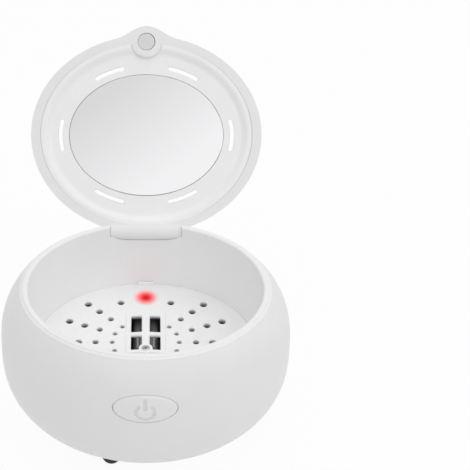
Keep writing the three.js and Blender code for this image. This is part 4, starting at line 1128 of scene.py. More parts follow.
class DRYER_OT_bowl(bpy.types.Operator):
    """Builds the bowl with its lip on the housing, its tray seat and its well."""

    bl_idname = "dryer.bowl"
    bl_label = "Bowl"

    def rings(self):
        form = chosen("form")
        bowl = chosen("bowl")
        seam = form.seam_height
        low = tray_bottom()
        well = well_inside()
        corner = 0.0009
        rings = [grown(at_height(well, bowl.well_floor), -corner * 4)]
        rings += edge_rings(well, arc((-corner, bowl.well_floor + corner), corner, -90, 0, 5))
        chamfer = 0.0002
        rings.append(at_height(well, low - chamfer))
        rings.append(at_height(grown(well, chamfer), low))
        seat = bowl_inside(low)
        fillet = 0.0003
        rings.append(grown(seat, -fillet))
        rings.append(at_height(grown(seat, -0.0001), low + 0.00008))
        rings.append(at_height(seat, low + fillet))
        lip = bowl.lip_round
        start = low + fillet * 2
        end = seam - lip
        steps = 14
        for step in range(steps + 1):
            rings.append(bowl_inside(start + (end - start) * step / steps))
        inside = bowl_inside(end)
        rings += edge_rings(inside, arc((lip, end), lip, 180, 90, 7)[1:])
        edge = bowl.edge_round
        rings += edge_rings(pebble_ring(seam), arc((-edge, seam - edge), edge, 90, 0, 4))
        bottom = seam - bowl.flange
        small = edge * 0.15
        rings += edge_rings(pebble_ring(bottom), arc((-small, bottom + small), small, 0, -90, 2))
        outside = grown(bowl_inside(bottom), bowl.wall)
        rings.append(outside)
        rings.append(grown(bowl_inside(low), bowl.wall))
        rings.append(at_height(grown(well, bowl.wall), low - bowl.wall))
        rings.append(at_height(grown(well, bowl.wall), bowl.well_bottom + corner))
        rings.append(at_height(grown(well, bowl.wall - corner), bowl.well_bottom))
        return rings

    def notch_cutters(self):
        """Room for the hinge: a hollow that follows the barrel, and the open notch behind and above it."""
        form = chosen("form")
        housing = chosen("housing")
        lid = chosen("lid")
        side = housing.notch_side
        barrel_gap = 0.00012
        reach = lid.barrel_radius + barrel_gap
        top = form.seam_height + OVER
        back = form.half_depth + OVER
        hollow = rod_along_x("barrel_cutter", reach, -side, side, lid.hinge_y, lid.hinge_height, 96)
        behind_from = (-side, lid.hinge_y - reach / 2, housing.notch_floor)
        behind = block("behind_cutter", behind_from, (side, back, top))
        above = block("above_cutter", (-side, rim_inside()[1] / 2, lid.hinge_height), (side, back, top))
        return [hollow, behind, above]

    def execute(self, context):
        form = chosen("form")
        bowl = loft("bowl", self.rings(), form.sides)
        for cutter in self.notch_cutters():
            bowl = cut(bowl, cutter)
        settle(bowl, "base", "white_liner", "inner_bowl")
        return {"FINISHED"}


class DRYER_OT_tray(bpy.types.Operator):
    """Builds the perforated tray with its dimples, catch, lamp opening and indicator hole."""

    bl_idname = "dryer.tray"
    bl_label = "Tray"

    def hole_places(self):
        """Every hole as (x, y, radius)."""
        bowl = chosen("bowl")
        tray = chosen("tray")
        reach = bowl_inside(bowl.tray_top)[1] - tray.edge_gap - tray.hole_edge
        pitch = reach / 5
        shares = (0.64, 0.81, 0.93, 1.0)
        rows = [(row, ring) for row in (0, 1, 2, -1, -2, 8, 7, 6, 9, 10) for ring in range(4)]
        rows += [(row, 2) for row in (3, 5, -3, -5)]
        places = []
        for row, ring in rows:
            angle = row * tray.row_step
            out = pitch * (ring + 2)
            places.append((out * math.cos(angle), out * math.sin(angle), tray.hole_radius * shares[ring]))
        return places

    def studs(self, top):
        """Low round studs between the holes."""
        tray = chosen("tray")
        rings = [circle(tray.dimple_radius, top - 0.0003)]
        for share in (1.0, 0.8, 0.5, 0.15):
            radius = tray.dimple_radius * share
            rings.append(circle(radius, top + tray.dimple_rise * (1 - share ** 2) ** 2))
        stud = loft("stud", rings, 16)
        studs = [
            moved(copied(stud, "stud"), x, y) for x, y in self.dimple_places()]
        bpy.data.objects.remove(stud, do_unlink=True)
        return studs

    def dimple_places(self):
        """Places between the holes and on the rows between theirs."""
        bowl = chosen("bowl")
        tray = chosen("tray")
        inside = bowl_inside(bowl.tray_top)
        rim_room = 0.0022
        side_room = 0.0032
        front_room = 0.004
        pitch = (inside[1] - tray.edge_gap - tray.hole_edge) / 5
        places = []
        for row in range(16):
            for ring in range(5):
                for half in (0.0, 0.5):
                    angle = (row + half) * tray.row_step
                    out = pitch * (ring + (1.5 if half == 0.0 else 2.2))
                    x = out * math.cos(angle)
                    y = out * math.sin(angle)
                    rim = (x / (inside[0] - rim_room)) ** 2 + (y / (inside[1] - rim_room)) ** 2
                    by_side = abs(x) < tray.window_half_width + side_room
                    by_window = by_side and y > tray.window_front - front_room
                    if rim < 1 and not by_window:
                        places.append((x, y))
        return places

    def execute(self, context):
        bowl = chosen("bowl")
        tray = chosen("tray")
        top = bowl.tray_top
        low = tray_bottom() + HAIR
        edge = tray.edge_round
        upper = grown(bowl_inside(top), -tray.edge_gap)
        rings = [grown(bowl_inside(low), -tray.edge_gap)]
        rings += edge_rings(upper, arc((-edge, top - edge), edge, 0, 90, 4))
        plate = loft("tray", rings, chosen("form").sides)

        holes = [
            moved(loft("hole", mouth(radius, radius, low - OVER, top, tray.hole_round), 28), x, y)
            for x, y, radius in self.hole_places()]
        plate = cut(plate, joined("holes", holes))

        gap = tray.grille_gap
        front = tray.window_front - tray.grille_rim - gap
        back = tray.window_back + tray.grille_rim + gap
        size = (tray.window_half_width + tray.grille_rim + gap, (back - front) / 2)
        rebate = rounded_loft(
            "rebate", [(*size, top - tray.grille_thickness), (*size, top + OVER)], tray.grille_corner, 4)
        plate = cut(plate, moved(rebate, 0, (front + back) / 2))
        wider = tray.window_flare * 2
        opening = block(
            "opening", (-tray.window_half_width - wider, tray.window_front - wider, low - OVER),
            (tray.window_half_width + wider, tray.window_back + wider, top + OVER))
        plate = cut(plate, opening)
        boss_low = top - 0.0029
        boss_at = (0, tray.screw_y)
        boss = rod("tray_boss", tray.boss_radius, boss_low, top - tray.grille_thickness, boss_at, 48)
        plate = add(plate, boss)
        mouth_edge = 0.00003
        reach = tray.led_radius + 0.00002
        lens = loft("lens_cutter", mouth(reach, reach, low - OVER, top, mouth_edge), 48)
        plate = cut(plate, moved(lens, 0, tray.led_y))
        catch = block(
            "catch", (-tray.catch_half_width, upper[1] - tray.catch_reach, top - 0.0006),
            (tray.catch_half_width, upper[1] - 0.00001, top + tray.catch_height), bevel=0.00025)
        plate = add(plate, catch)
        plate = joined("tray", [plate] + self.studs(top))
        settle(plate, "base", "white_tray", "tray_plate")
        return {"FINISHED"}


class DRYER_OT_grille(bpy.types.Operator):
    """Builds the arched grille over the lamp."""

    bl_idname = "dryer.grille"
    bl_label = "Lamp grille"

    def execute(self, context):
        tray = chosen("tray")
        top = chosen("bowl").tray_top
        low = top - tray.grille_thickness + HAIR
        side = tray.window_half_width + tray.grille_rim
        front = tray.window_front - tray.grille_rim
        back = tray.window_back + tray.grille_rim
        middle_y = (front + back) / 2
        half_depth = (back - front) / 2
        edge = tray.edge_round
        rings = [(side, half_depth, low)]
        rings += edge_rings(rings[0], arc((-edge, top - edge), edge, 0, 90, 3))
        slab = rounded_loft("grille", rings, tray.grille_corner, 4)
        moved(slab, 0, middle_y)
        only(slab)
        bpy.ops.object.mode_set(mode="EDIT")
        strips = 24
        for step in range(1, strips):
            at = -side + 2 * side * step / strips
            bpy.ops.mesh.select_all(action="SELECT")
            bpy.ops.mesh.bisect(plane_co=(at, 0, 0), plane_no=(1, 0, 0))
        bpy.ops.object.mode_set(mode="OBJECT")

        windows = []
        corner = 0.00025
        spans = ((tray.window_front, tray.cross_bar_front), (tray.cross_bar_back, tray.window_back))
        for near, far in spans:
            for way in (-1, 1):
                half_width = (tray.window_half_width - tray.bar_half_width) / 2
                half_depth = (far - near) / 2
                flare = tray.window_flare
                wide = (half_width + flare, half_depth + flare)
                stack = [(*wide, low - OVER), (*wide, low + flare / 2)]
                stack += mouth(half_width, half_depth, low + flare * 1.5, top, tray.window_round)
                window = rounded_loft("window", stack, corner, 3)
                at_x = way * (tray.window_half_width + tray.bar_half_width) / 2
                windows.append(moved(window, at_x, (near + far) / 2))
        slab = cut(slab, joined("windows", windows))

        def arched(point):
            lift = tray.grille_crown * (1 - (point.x / side) ** 2)
            share = min(max((point.z - low) / (top - low), 0.0), 1.0)
            return Vector((point.x, point.y, point.z + lift * share))

        reshape(slab, arched)
        crown = top + tray.grille_crown
        lift = 0.00004
        boss_rings = rounded_end(tray.boss_radius, tray.boss_radius, low, crown + lift, 0.0003)
        boss = loft("grille_boss", boss_rings, 64)
        slab = add(slab, moved(boss, 0, tray.screw_y))
        head = tray.screw_radius + 0.00007
        shank = 0.0009
        seat_rings = [circle(shank, low - OVER), circle(shank, crown - tray.screw_height)]
        seat_rings += mouth(head, head, crown - tray.screw_height, crown + lift, 0.00015)
        slab = cut(slab, moved(loft("head_cutter", seat_rings, 48), 0, tray.screw_y))
        settle(slab, "base", "white_tray", "lamp_grille")
        return {"FINISHED"}


def cross_screw(name, head_radius, head_height, shank_radius, shank_length):
    """A domed cross-head screw that stands upright with its seat at height 0."""
    dome = head_height * 0.45
    rings = [circle(shank_radius * 0.35, -shank_length)]
    rings.append(circle(shank_radius * 0.8, -shank_length + shank_radius))
    pitch = shank_radius * 0.7
    level = -shank_length + shank_radius
    while level + pitch < -pitch * 0.5:
        rings.append(circle(shank_radius, level + pitch * 0.5))
        rings.append(circle(shank_radius * 0.8, level + pitch))
        level += pitch
    rings.append(circle(shank_radius, -0.00002))
    rings.append(circle(shank_radius, 0.0))
    rings.append(circle(head_radius * 0.97, 0.0))
    rings.append(circle(head_radius, head_height * 0.08))
    for along, up in arc((0, 0), 1.0, 0, 78, 7):
        radius = head_radius * (0.5 + 0.5 * along) if up < 0.3 else head_radius * along ** 0.7
        rings.append(circle(radius, head_height - dome + dome * up))
    piece = loft(name, rings, 40)
    half = head_radius * 0.66
    blade = head_radius * 0.16
    depth = head_height * 0.8
    for across, along in ((half, blade), (blade, half)):
        arm = [(across * 0.55, along * 0.6, head_height - depth), (across, along, head_height + 0.0001)]
        piece = cut(piece, rounded_loft("cross_cutter", arm, blade * 0.3, 2))
    return piece


class DRYER_OT_screws(bpy.types.Operator):
    """Builds the cross-head screws of the grille and the base."""

    bl_idname = "dryer.screws"
    bl_label = "Screws"

    def execute(self, context):
        tray = chosen("tray")
        base = chosen("base")
        seat = chosen("bowl").tray_top + tray.grille_crown - tray.screw_height + HAIR
        height = tray.screw_height - 0.00008
        shank = 0.0007
        reach = 0.0021
        screw = cross_screw("grille_cross_screw", tray.screw_radius, height, shank, reach)
        spin = Matrix.Rotation(math.radians(20), 4, "Z")
        place(screw, Matrix.Translation((0, tray.screw_y, seat)) @ spin)
        settle(screw, "base", "steel", "grille_screw")
        first = cross_screw(
            "base_cross_screw_1", base.screw_head, base.screw_head_height,
            base.screw_shank, base.screw_length)
        seat = 0.0009
        turn_step = 0.7
        screws = [first]
        for number in range(2, 5):
            screws.append(copied(first, "base_cross_screw_" + str(number)))
        for number, (piece, spot) in enumerate(zip(screws, base_screw_places()), 1):
            down = Matrix.Rotation(math.radians(180), 4, "X") @ Matrix.Rotation(number * turn_step, 4, "Z")
            place(piece, Matrix.Translation((spot.x, spot.y, seat)) @ down)
            settle(piece, "base", "steel", "base_screw_" + str(number))
        return {"FINISHED"}


class DRYER_OT_lamp(bpy.types.Operator):
    """Builds the bent glass lamp and the red indicator."""

    bl_idname = "dryer.lamp"
    bl_label = "Lamp and indicator"

    def execute(self, context):
        lamp = chosen("lamp")
        tray = chosen("tray")
        bend_y = lamp.front + lamp.spread
        circle_add = bpy.ops.mesh.primitive_circle_add
        tube = started("lamp_tube", circle_add, vertices=32, radius=lamp.tube_radius, fill_type="NGON")
        bpy.ops.object.mode_set(mode="OBJECT")
        leg_end = Matrix.Translation((lamp.spread, lamp.back, lamp.height))
        place(tube, leg_end @ Matrix.Rotation(math.radians(90), 4, "X"))
        only(tube)
        bpy.ops.object.mode_set(mode="EDIT")
        bpy.ops.mesh.select_all(action="SELECT")
        bpy.ops.mesh.extrude_region_move(TRANSFORM_OT_translate={"value": (0, bend_y - lamp.back, 0)})
        steps = 20
        centre = Vector((0, bend_y, lamp.height))
        for step in range(steps):
            bpy.ops.mesh.extrude_region_move(TRANSFORM_OT_translate={"value": (0, 0, 0)})
            bpy.ops.object.mode_set(mode="OBJECT")
            swing = turned_about(centre, -math.pi / steps, "Z")
            for vertex in tube.data.vertices:
                if vertex.select:
                    vertex.co = swing @ vertex.co
            bpy.ops.object.mode_set(mode="EDIT")
        bpy.ops.mesh.extrude_region_move(TRANSFORM_OT_translate={"value": (0, lamp.back - bend_y, 0)})
        close_solid()
        settle(tube, "base", "lamp_quartz", "uv_lamp")

        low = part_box("indicator_led")[0]
        lens_radius = tray.led_radius
        top = chosen("bowl").tray_top - 0.00002
        collar = 0.0019
        collar_top = top - 0.0036
        rings = [circle(collar, top - 0.0045), circle(collar, collar_top), circle(lens_radius, collar_top)]
        dome = 0.00004
        rings.append(circle(lens_radius, top - dome))
        for share in (0.97, 0.9, 0.75, 0.5, 0.2):
            rings.append(circle(lens_radius * share, top - dome * share ** 4))
        lens = loft("indicator_lens", rings, 48)
        apart = 0.00127
        half = 0.00025
        leads = [
            block("lead", (at - half, -half, low.z), (at + half, half, top - 0.004))
            for at in (-apart, apart)]
        lens = add(lens, joined("leads", leads))
        moved(lens, 0, tray.led_y)
        settle(lens, "base", "red_lens", "indicator_led")
        return {"FINISHED"}


def capsule(name, half_length, half_width, rings, cuts=0):
    """A round-ended bar, drawn flat and raised through (growth, height) rings, with cuts along it."""
    stack = [(half_length + extra, half_width + extra, level) for extra, level in rings]
    piece = rounded_loft(name, stack, stack[0][1] * ALMOST)
    only(piece)
    bpy.ops.object.mode_set(mode="EDIT")
    reach = half_length - half_width
    for step in range(cuts + 1):
        at = -reach + 2 * reach * step / max(cuts, 1)
        bpy.ops.mesh.select_all(action="SELECT")
        bpy.ops.mesh.bisect(plane_co=(at, 0, 0), plane_no=(1, 0, 0))
    close_solid()
    return piece


class DRYER_OT_button(bpy.types.Operator):
    """Builds the pillowed power button with its engraved symbol."""

    bl_idname = "dryer.button"
    bl_label = "Power button"

    def execute(self, context):
        button = chosen("button")
        flange = 0.0008
        back = -0.0033
        behind = -0.0023
        rings = [(button.half_width * 0.6, button.half_height * 0.6, back)]
        rings.append((button.half_width + flange, button.half_height + flange, back))
        rings.append((button.half_width + flange, button.half_height + flange, behind))
        rings.append((button.half_width, button.half_height, behind))
        edge = button.edge_round
        rings += edge_rings(rings[-1], arc((-edge, button.proud - edge), edge, 0, 82, 7))
        last = rings[-1]
        pillow = 0.00012
        for step in range(1, 24):
            share = 1 - step / 24.5
            swell = pillow * (1 - share * share)
            rings.append((last[0] * share, last[1] * share, last[2] + swell))
        cap = loft("power_button", rings, 120)
        wrap_on(cap, button.height, -1)
        half_line = button.symbol_line / 2
        deep = -button.symbol_depth
        relief = [(-0.00014, button.proud + deep), (0.0, button.proud - HAIR)]
        relief.append((0.00008, button.proud + OVER))
        sweep = math.pi - button.symbol_opening
        ring_reach = button.symbol_radius * sweep
        ring = capsule("ring_cutter", ring_reach, half_line, relief, 40)

        def curl(point):
            angle = math.pi + point.x / button.symbol_radius
            radius = button.symbol_radius + point.y
            up = radius * math.cos(angle) - button.symbol_drop
            return Vector((radius * math.sin(angle), up, point.z))

        reshape(ring, curl)
        wrap_on(ring, button.height, -1)
        cap = cut(cap, ring)
        half_bar = (button.bar_high - button.bar_low) / 2
        bar = capsule("bar_cutter", half_bar, half_line, relief, 12)
        middle = (button.bar_high + button.bar_low) / 2 - button.symbol_drop

        def upright(point):
            return Vector((point.y, point.x + middle, point.z))

        reshape(bar, upright)
        wrap_on(bar, button.height, -1)
        cap = cut(cap, bar)
        settle(cap, "button", "white_shell", "button_cap")
        return {"FINISHED"}


class DRYER_OT_inlet(bpy.types.Operator):
    """Builds the power inlet's sheath, tongue and contacts."""

    bl_idname = "dryer.inlet"
    bl_label = "Power inlet"

    def execute(self, context):
        inlet = chosen("inlet")
        front = inlet.front - HAIR
        back = front - inlet.depth
        edge = 0.0001
        sheath = inlet_plate("inlet_sheath", 0.0, [(0.0, back), (0.0, front - edge), (-edge, front)])
        hollow_rings = [(0.0, back + inlet.sheet), (0.0, front - edge), (edge * 1.5, front + edge)]
        hollow = inlet_plate("inlet_cutter", -inlet.sheet, hollow_rings)
        sheath = cut(sheath, hollow)
        tongue_top = inlet.height + inlet.half_height - inlet.sheet - inlet.tongue_thickness / 2
        tongue = block(
            "inlet_tongue",
            (-inlet.tongue_half_width, back + inlet.sheet / 2, tongue_top - inlet.tongue_thickness),
            (inlet.tongue_half_width, front - inlet.tongue_inset, tongue_top), bevel=0.00008)
        settle(sheath, "base", "steel", "usb_receptacle")
        settle(tongue, "base", "black_plastic")
        strips = []
        pitch = 0.00065
        half = 0.00014
        under = tongue_top - inlet.tongue_thickness
        end = front - inlet.tongue_inset - 0.0003
        for number in range(-2, 3):
            x = number * pitch
            low = (x - half, back + inlet.sheet, under - 0.00006)
            strips.append(block("contact", low, (x + half, end, under + 0.00004), bevel=0.00002, steps=1))
        contacts = joined("inlet_contacts", strips)
        settle(contacts, "base", "copper_core")
        return {"FINISHED"}


class DRYER_OT_base(bpy.types.Operator):
    """Builds the base cover and the rubber feet."""

    bl_idname = "dryer.base"
    bl_label = "Base and feet"

    def execute(self, context):
        base = chosen("base")
        ring = cover_ring()
        edge = 0.0003
        thick = base.cover_thickness
        rings = [(ring[0] - edge * 5, ring[1] - edge * 5, 0.0)]
        rings += edge_rings(ring, arc((-edge, edge), edge, -90, 0, 4))
        rings.append(at_height(ring, thick))
        cover = loft("base_plate", rings, 144)
        low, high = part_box("base_cover")
        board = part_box("main_board")[0].z
        screw_low, screw_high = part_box("board_screw_1")
        middle = (screw_low + screw_high) / 2
        stand = 0.002
        bore = 0.00085
        bore_low = 0.001
        stands = [
            rod("stand", stand, thick - 0.0004, high.z, (way_x * middle.x, way_y * middle.y), 32)
            for way_x in (-1, 1) for way_y in (-1, 1)]
        cover = add(cover, joined("stands", stands))
        pilots = [
            rod("pilot", bore, bore_low, board + OVER, ((low + high) / 2).to_2d(), 24)
            for low, high in (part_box("board_screw_1"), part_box("board_screw_2"))]
        cover = cut(cover, joined("pilots", pilots))
        holes = []
        room = 0.0002
        lead_in = 0.0002
        seat = 0.00095
        shank = base.screw_shank + room
        head = base.screw_head + room
        flared = head + lead_in
        for spot in base_screw_places():
            rings = [circle(shank, thick + OVER), circle(shank, seat), circle(head, seat)]
            rings += [circle(head, lead_in), circle(head + 0.00008, 0.00006)]
            rings += [circle(flared, 0.0), circle(flared, -0.0005)]
            holes.append(moved(loft("screw_hole", rings, 40), spot.x, spot.y))
        cover = cut(cover, joined("screw_holes", holes))
        settle(cover, "base", "white_shell", "base_cover")

        centre = base.foot_radius - base.foot_proud
        start = math.degrees(math.asin(base.foot_tip / base.foot_radius))
        rings = []
        for along, up in arc((0, centre), base.foot_radius, -90 + start, 0, 14):
            rings.append(circle(along, up))
        seat = base.foot_seat - HAIR
        groove = 0.0002
        rings.append(circle(base.foot_radius, seat - groove * 4))
        rings.append(circle(base.foot_radius - groove, seat))
        neck = 0.0012
        barb = base.foot_pad_top + HAIR
        rings += [circle(neck, seat), circle(neck, barb), circle(0.002, barb)]
        rings.append(circle(neck, base.foot_pad_top + 0.0015))
        first = loft("rubber_foot_1", rings, 56)
        feet = [first]
        for number in range(2, 5):
            feet.append(copied(first, "rubber_foot_" + str(number)))
        for number, (piece, spot) in enumerate(zip(feet, foot_places()), 1):
            moved(piece, spot.x, spot.y)
            settle(piece, "base", "black_rubber", "foot_" + str(number))
        return {"FINISHED"}


def slot_cutters():
    """The six vent slots of the lid as one cutter, wider at the lining's face."""
    form = chosen("form")
    lid = chosen("lid")
    outline = pebble_ring(lid_plane())
    half_width = outline[0] - lid.mirror_margin + lid.slot_margin
    half_depth = outline[1] - lid.mirror_end_margin + lid.slot_margin
    face = lid_plane() + lid.panel_depth
    crown = form.belly_height + form.upper_reach + OVER
    flare = 0.00018
    rings = [(flare, lid_plane() - OVER), (flare, face), (flare * 0.4, face + flare * 0.3)]
    rings += [(0.0, face + flare), (0.0, crown)]
    corner = lid.corner_place
    slots = [(0.0, lid.side_sweep), (math.pi, lid.side_sweep)]
    slots += [(angle, lid.corner_sweep) for angle in (corner, math.pi - corner, math.pi + corner, -corner)]
    pieces = []
    for middle, sweep in slots:
        span = Vector((half_width * math.sin(middle), half_depth * math.cos(middle))).length * sweep
        bar = capsule("slot", span + lid.slot_width / 2, lid.slot_width / 2, rings, 14)

        def follow(point, middle=middle, sweep=sweep, span=span):
            angle = middle + point.x / span * sweep
            at = Vector((half_width * math.cos(angle), half_depth * math.sin(angle)))
            out = Vector((at.x / half_width ** 2, at.y / half_depth ** 2)).normalized()
            at += out * point.y
            depth = max(point.z - face, 0.0)
            lean = lid.slot_lean - lid.slot_fan * math.sin(angle)
            return Vector((at.x * (1 + lid.slot_spread * depth), at.y - lean * depth, point.z))

        pieces.append(reshape(bar, follow))
    return joined("slots", pieces)


def opened(piece):
    """Turns a piece of the lid, drawn closed, about the hinge to where it stands open."""
    lid = chosen("lid")
    hinge = Vector((0, lid.hinge_y, lid.hinge_height))
    return place(piece, turned_about(hinge, -lid.open_angle, "X"))


class DRYER_OT_lid(bpy.types.Operator):
    """Builds the lid with its finger tab, magnet boss, vent slots and hinge leaf."""

    bl_idname = "dryer.lid"
    bl_label = "Lid"

    def rings(self):
        form = chosen("form")
        lid = chosen("lid")
        plane = lid_plane()
        crown = form.belly_height + form.upper_reach
        last = 0.03
        power = form.upper_power
        top = form.belly_height + form.upper_reach * (1 - last ** power) ** (1 / power)
        edge = lid.edge_round
        rings = list(reversed(pebble_rings(plane + edge, top, 0.0, 40)))
        for along, up in arc((-edge, plane + edge), edge, 0, -90, 5)[1:]:
            rings.append(at_height(grown(pebble_ring(up), along), up))
        small = lid.lining_gap
        inner = pebble_ring(plane, lid.wall)
        rings.append(grown(inner, small))
        rings.append(at_height(grown(inner, small * 0.3), plane + small * 0.3))
        rings.append(at_height(inner, plane + small))
        rings += pebble_rings(plane + small * 2, crown - lid.wall - 0.0006, lid.wall, 16)
        widened = []
        for ring in rings:
            fall = min(max((ring[2] - plane) / (crown - plane), 0.0), 1.0)
            widened.append((ring[0] + lid.edge_swell * (1 - fall) ** 3, ring[1], ring[2]))
        return widened

    def with_tab(self, point):
        """Pulls the front edge out into the finger tab."""
        lid = chosen("lid")
        plane = lid_plane()
        if point.y > 0 or abs(point.x) > lid.tab_half_width or point.z > plane + lid.tab_rise:
            return point
        ring = pebble_ring(max(point.z, plane))
        outness = math.sqrt((point.x / ring[0]) ** 2 + (point.y / ring[1]) ** 2)
        limit = 1 - lid.wall / ring[1] * 0.9
        full = 0.985
        share = min(max((outness - limit) / (full - limit), 0.0), 1.0)
        run = max(abs(point.x) - lid.tab_flat, 0.0) / (lid.tab_half_width - lid.tab_flat)
        bump = 1 - run * run * (3 - 2 * run)
        fall = min(max((point.z - plane - lid.tab_edge) / (lid.tab_rise - lid.tab_edge), 0.0), 1.0)
        height_share = 1 - fall * fall * (3 - 2 * fall)
        lean = pebble_surface(point.x, plane) - pebble_surface(point.x, max(point.z, plane))
        move = (lid.tab_standout * bump + lean * bump ** 0.5) * height_share * share
        return Vector((point.x, point.y - move, point.z))

    def leaf(self):
        """Tongue and barrel of the hinge, trimmed to the pebble's outside."""
        form = chosen("form")
        lid = chosen("lid")
        side = lid.leaf_half_width
        reach = lid.barrel_radius
        tongue = block(
            "hinge_tongue", (-side, lid.hinge_y - reach, lid.hinge_height),
            (side, lid.hinge_y + reach, lid_plane() + lid.wall))
        barrel = rod_along_x("hinge_barrel", reach, -side, side, lid.hinge_y, lid.hinge_height, 64)
        leaf = add(tongue, barrel)
        crown = form.belly_height + form.upper_reach
        envelope = loft(
            "leaf_envelope", pebble_rings(lid.hinge_height - 0.004, crown - 0.001, 0.0, 40), form.sides)
        leaf = combine(leaf, envelope, "INTERSECT")
        hollow_top = crown - lid.wall - 0.0006
        hollow = loft("lid_hollow", pebble_rings(lid_plane(), hollow_top, lid.wall, 16), form.sides)
        return cut(leaf, hollow)

    def execute(self, context):
        lid = chosen("lid")
        form = chosen("form")
        plane = lid_plane()
        shell = loft("lid_dome", self.rings(), form.sides + 48)
        reshape(shell, self.with_tab)
        boss_top = plane + lid.boss_rise
        boss_rings = rounded_end(lid.boss_radius, lid.boss_radius, plane, boss_top, lid.boss_round)
        boss = moved(loft("magnet_boss", boss_rings, 72), 0, lid.magnet_y)
        dome = loft("boss_envelope", pebble_rings(plane - 0.0001, plane + 0.006, 0.0006, 10), form.sides)
        reach = lid.magnet_radius + lid.magnet_gap
        pocket_rings = [circle(reach, plane + lid.magnet_thickness + 0.0001), circle(reach, plane + 0.0002)]
        opened_to = reach + 0.00006
        pocket_rings += [circle(reach + 0.00002, plane + 0.00003), circle(opened_to, plane)]
        pocket_rings.append(circle(opened_to, plane - OVER))
        pocket = moved(loft("pocket_cutter", pocket_rings, 64), 0, lid.magnet_y)
        shell = add(shell, combine(boss, dome, "INTERSECT"))
        shell = cut(shell, pocket)
        shell = add(shell, self.leaf())
        bore = lid.pin_radius + 0.0001
        half = 0.0116
        shell = cut(shell, rod_along_x("bore_cutter", bore, -half, half, lid.hinge_y, lid.hinge_height))
        shell = cut(shell, slot_cutters())
        opened(shell)
        settle(shell, "lid", "white_shell", "lid_shell")
        return {"FINISHED"}


class DRYER_OT_lining(bpy.types.Operator):
    """Builds the dished lining of the lid."""

    bl_idname = "dryer.lining"
    bl_label = "Lid lining"

    def rings(self):
        lid = chosen("lid")
        plane = lid_plane()
        panel = plane + lid.panel_depth
        outline = pebble_ring(plane)
        mirror = (outline[0] - lid.mirror_margin, outline[1] - lid.mirror_end_margin, panel)
        deep = panel + lid.mirror_thickness + 0.00025
        room = grown(mirror, lid.mirror_gap)
        soft = 0.0001
        rings = [at_height(grown(room, -0.002), deep), at_height(room, deep)]
        rings.append(at_height(room, panel + soft))
        rings += edge_rings(room, arc((soft, panel + soft), soft, 180, 270, 4)[1:])
        edge = grown(pebble_ring(plane, lid.wall), -lid.lining_gap)
        mouth_ring = grown(edge, -lid.land)
        steps = 12
        for step in range(steps + 1):
            share = step / steps
            rise = 1 - share * share * (3 - 2 * share)
            hollow = grown(mouth_ring, lid.cove * (share - 1))
            rings.append(at_height(hollow, plane + lid.panel_depth * rise))
        tiny = lid.lining_gap
        rings.append(at_height(grown(edge, -tiny), plane))
        rings.append(at_height(edge, plane + tiny))
        rings.append(grown(pebble_ring(panel, lid.wall), -lid.lining_gap))
        back = panel + lid.lining
        rings.append(grown(pebble_ring(back, lid.wall), -0.0003))
        block_ring = grown(mirror, 0.0012)
        rings.append(at_height(block_ring, back))
        rings.append(at_height(block_ring, deep + 0.0008))
        return rings

    def execute(self, context):
        lid = chosen("lid")
        form = chosen("form")
        plane = lid_plane()
        lining = loft("lid_lining", self.rings(), form.sides)
        room = lid.boss_radius + lid.lining_gap
        boss_rings = [circle(room, plane - OVER), circle(room, plane + 0.008)]
        boss = moved(loft("boss_cutter", boss_rings, 72), 0, lid.magnet_y)
        lining = cut(lining, boss)
        lining = cut(lining, slot_cutters())
        opened(lining)
        settle(lining, "lid", "white_liner", "lid_liner")
        return {"FINISHED"}


class DRYER_OT_mirror(bpy.types.Operator):
    """Builds the mirror and the magnet of the lid."""

    bl_idname = "dryer.mirror"
    bl_label = "Mirror and magnet"

    def execute(self, context):
        lid = chosen("lid")
        plane = lid_plane()
        panel = plane + lid.panel_depth
        outline = pebble_ring(plane)
        ring = (outline[0] - lid.mirror_margin, outline[1] - lid.mirror_end_margin, panel)
        bevel = lid.mirror_bevel
        back = panel + lid.mirror_thickness
        rings = [at_height(ring, back), at_height(ring, panel + bevel * 0.5), grown(ring, -bevel)]
        glass = loft("oval_mirror", rings, chosen("form").sides)
        opened(glass)
        settle(glass, "lid", "mirror_glass", "mirror", crease=12)
        low = plane + HAIR
        high = low + lid.magnet_thickness
        disc_rings = rounded_end(lid.magnet_radius, lid.magnet_radius, low, high, 0.0002)
        disc = moved(loft("magnet_disc", disc_rings, 64), -lid.magnet_off, lid.magnet_y)
        opened(disc)
        settle(disc, "lid", "steel", "lid_magnet", finish="magnet_plating")
        return {"FINISHED"}


